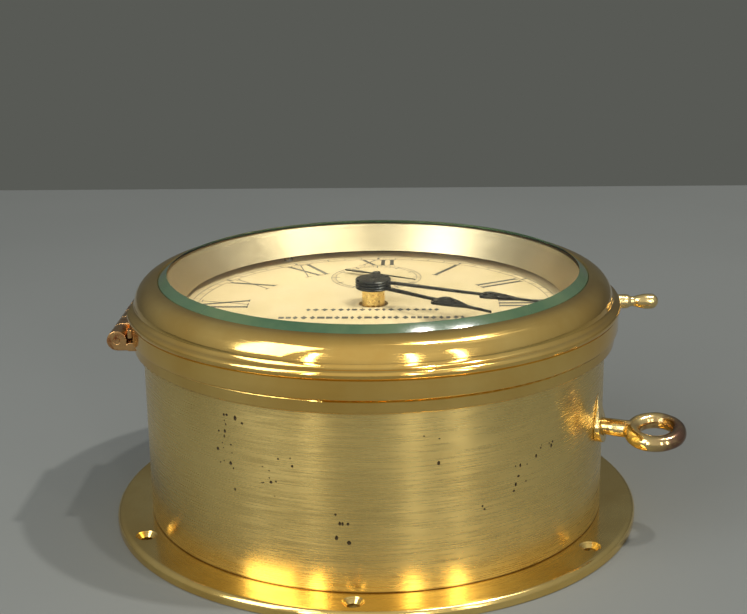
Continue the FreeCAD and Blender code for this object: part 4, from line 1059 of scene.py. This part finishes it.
# name, place, width, height or None for a square, power in watts, colour
LIGHTS = (
    ("key", (1.12, -0.14, 2.25), 0.09, None, 31.0, (1.0, 0.96, 0.90)),
    ("key_high", (0.62, -0.30, 2.40), 0.09, None, 17.0, (1.0, 0.96, 0.90)),
    ("left_strip", (-0.47, -0.97, 0.42), 0.07, 0.7, 1.9, (1.0, 0.97, 0.90)),
    ("middle_strip", (0.35, -1.05, 0.42), 0.06, 0.7, 1.8, (1.0, 0.95, 0.84)),
    ("right_strip", (0.72, -0.86, 0.42), 0.05, 0.7, 1.9, (1.0, 0.93, 0.80)),
    ("left_box", (-0.74, -0.62, 0.75), 0.50, 1.0, 8.2, (0.97, 0.99, 1.0)),
)


def area_light(name, place, width, height, power, colour):
    data = bpy.data.lights.new(name, "AREA")
    data.energy = power
    data.color = colour
    data.size = width
    if height:
        data.shape = "RECTANGLE"
        data.size_y = height
    light = add_object(name, data)
    light.location = place
    light.rotation_euler = (Vector(AIM) - Vector(place)).to_track_quat("-Z", "Y").to_euler()
    light.visible_camera = False


def make_floor():
    wide, near, far = FLOOR_WIDE, FLOOR_NEAR, FLOOR_FAR
    corners = ((-wide, -near, 0.0), (wide, -near, 0.0), (wide, far, 0.0), (-wide, far, 0.0))
    mesh = bpy.data.meshes.new("floor")
    mesh.from_pydata(corners, [], [(0, 1, 2, 3)])
    floor = add_object("floor", mesh)
    s = Shader("floor_pale")
    s.put(Roughness=0.75, Specular_IOR_Level=0.2)
    tone = s.noise(3.0, 3.0, 0.5)
    s.finish_colour(s.ramp(tone, ((0.3, (0.135, 0.144, 0.140)), (0.7, (0.148, 0.157, 0.153)))))
    floor.data.materials.append(s.material)


def make_world():
    """The room's soft light, brighter from one side."""
    world = bpy.data.worlds.new("studio")
    bpy.context.scene.world = world
    world.use_nodes = True
    tree = world.node_tree
    direction = tree.nodes.new("ShaderNodeTexCoord")
    facing = tree.nodes.new("ShaderNodeVectorMath")
    facing.operation = "DOT_PRODUCT"
    facing.inputs[1].default_value = ROOM_LIGHT_FROM
    tree.links.new(direction.outputs["Generated"], facing.inputs[0])
    halved = tree.nodes.new("ShaderNodeMath")
    halved.operation = "MULTIPLY_ADD"
    halved.inputs[1].default_value = 0.5
    halved.inputs[2].default_value = 0.5
    tree.links.new(facing.outputs["Value"], halved.inputs[0])
    ramp = tree.nodes.new("ShaderNodeValToRGB")
    stops = ramp.color_ramp
    while len(stops.elements) < len(ROOM):
        stops.elements.new(0.5)
    for stop, (place, colour) in zip(stops.elements, ROOM):
        stop.position = place
        stop.color = (*colour, 1.0)
    tree.links.new(halved.outputs["Value"], ramp.inputs["Fac"])
    tree.links.new(ramp.outputs["Color"], tree.nodes["Background"].inputs["Color"])


def make_stage():
    make_floor()
    make_world()
    for light in LIGHTS:
        area_light(*light)


# ================================================================ main
def main():
    bpy.context.scene.view_settings.view_transform = "Standard"
    materials = make_materials()
    dress_cad_nodes(materials)
    make_flange(materials)
    make_drum(materials)
    make_bezel(materials)
    make_glass(materials)
    make_dial_print(materials)
    for hand in MAIN_HANDS:
        make_main_hand(materials, *hand)
    make_seconds_hand(materials)
    make_fittings(materials)
    make_camera()
    make_stage()


main()
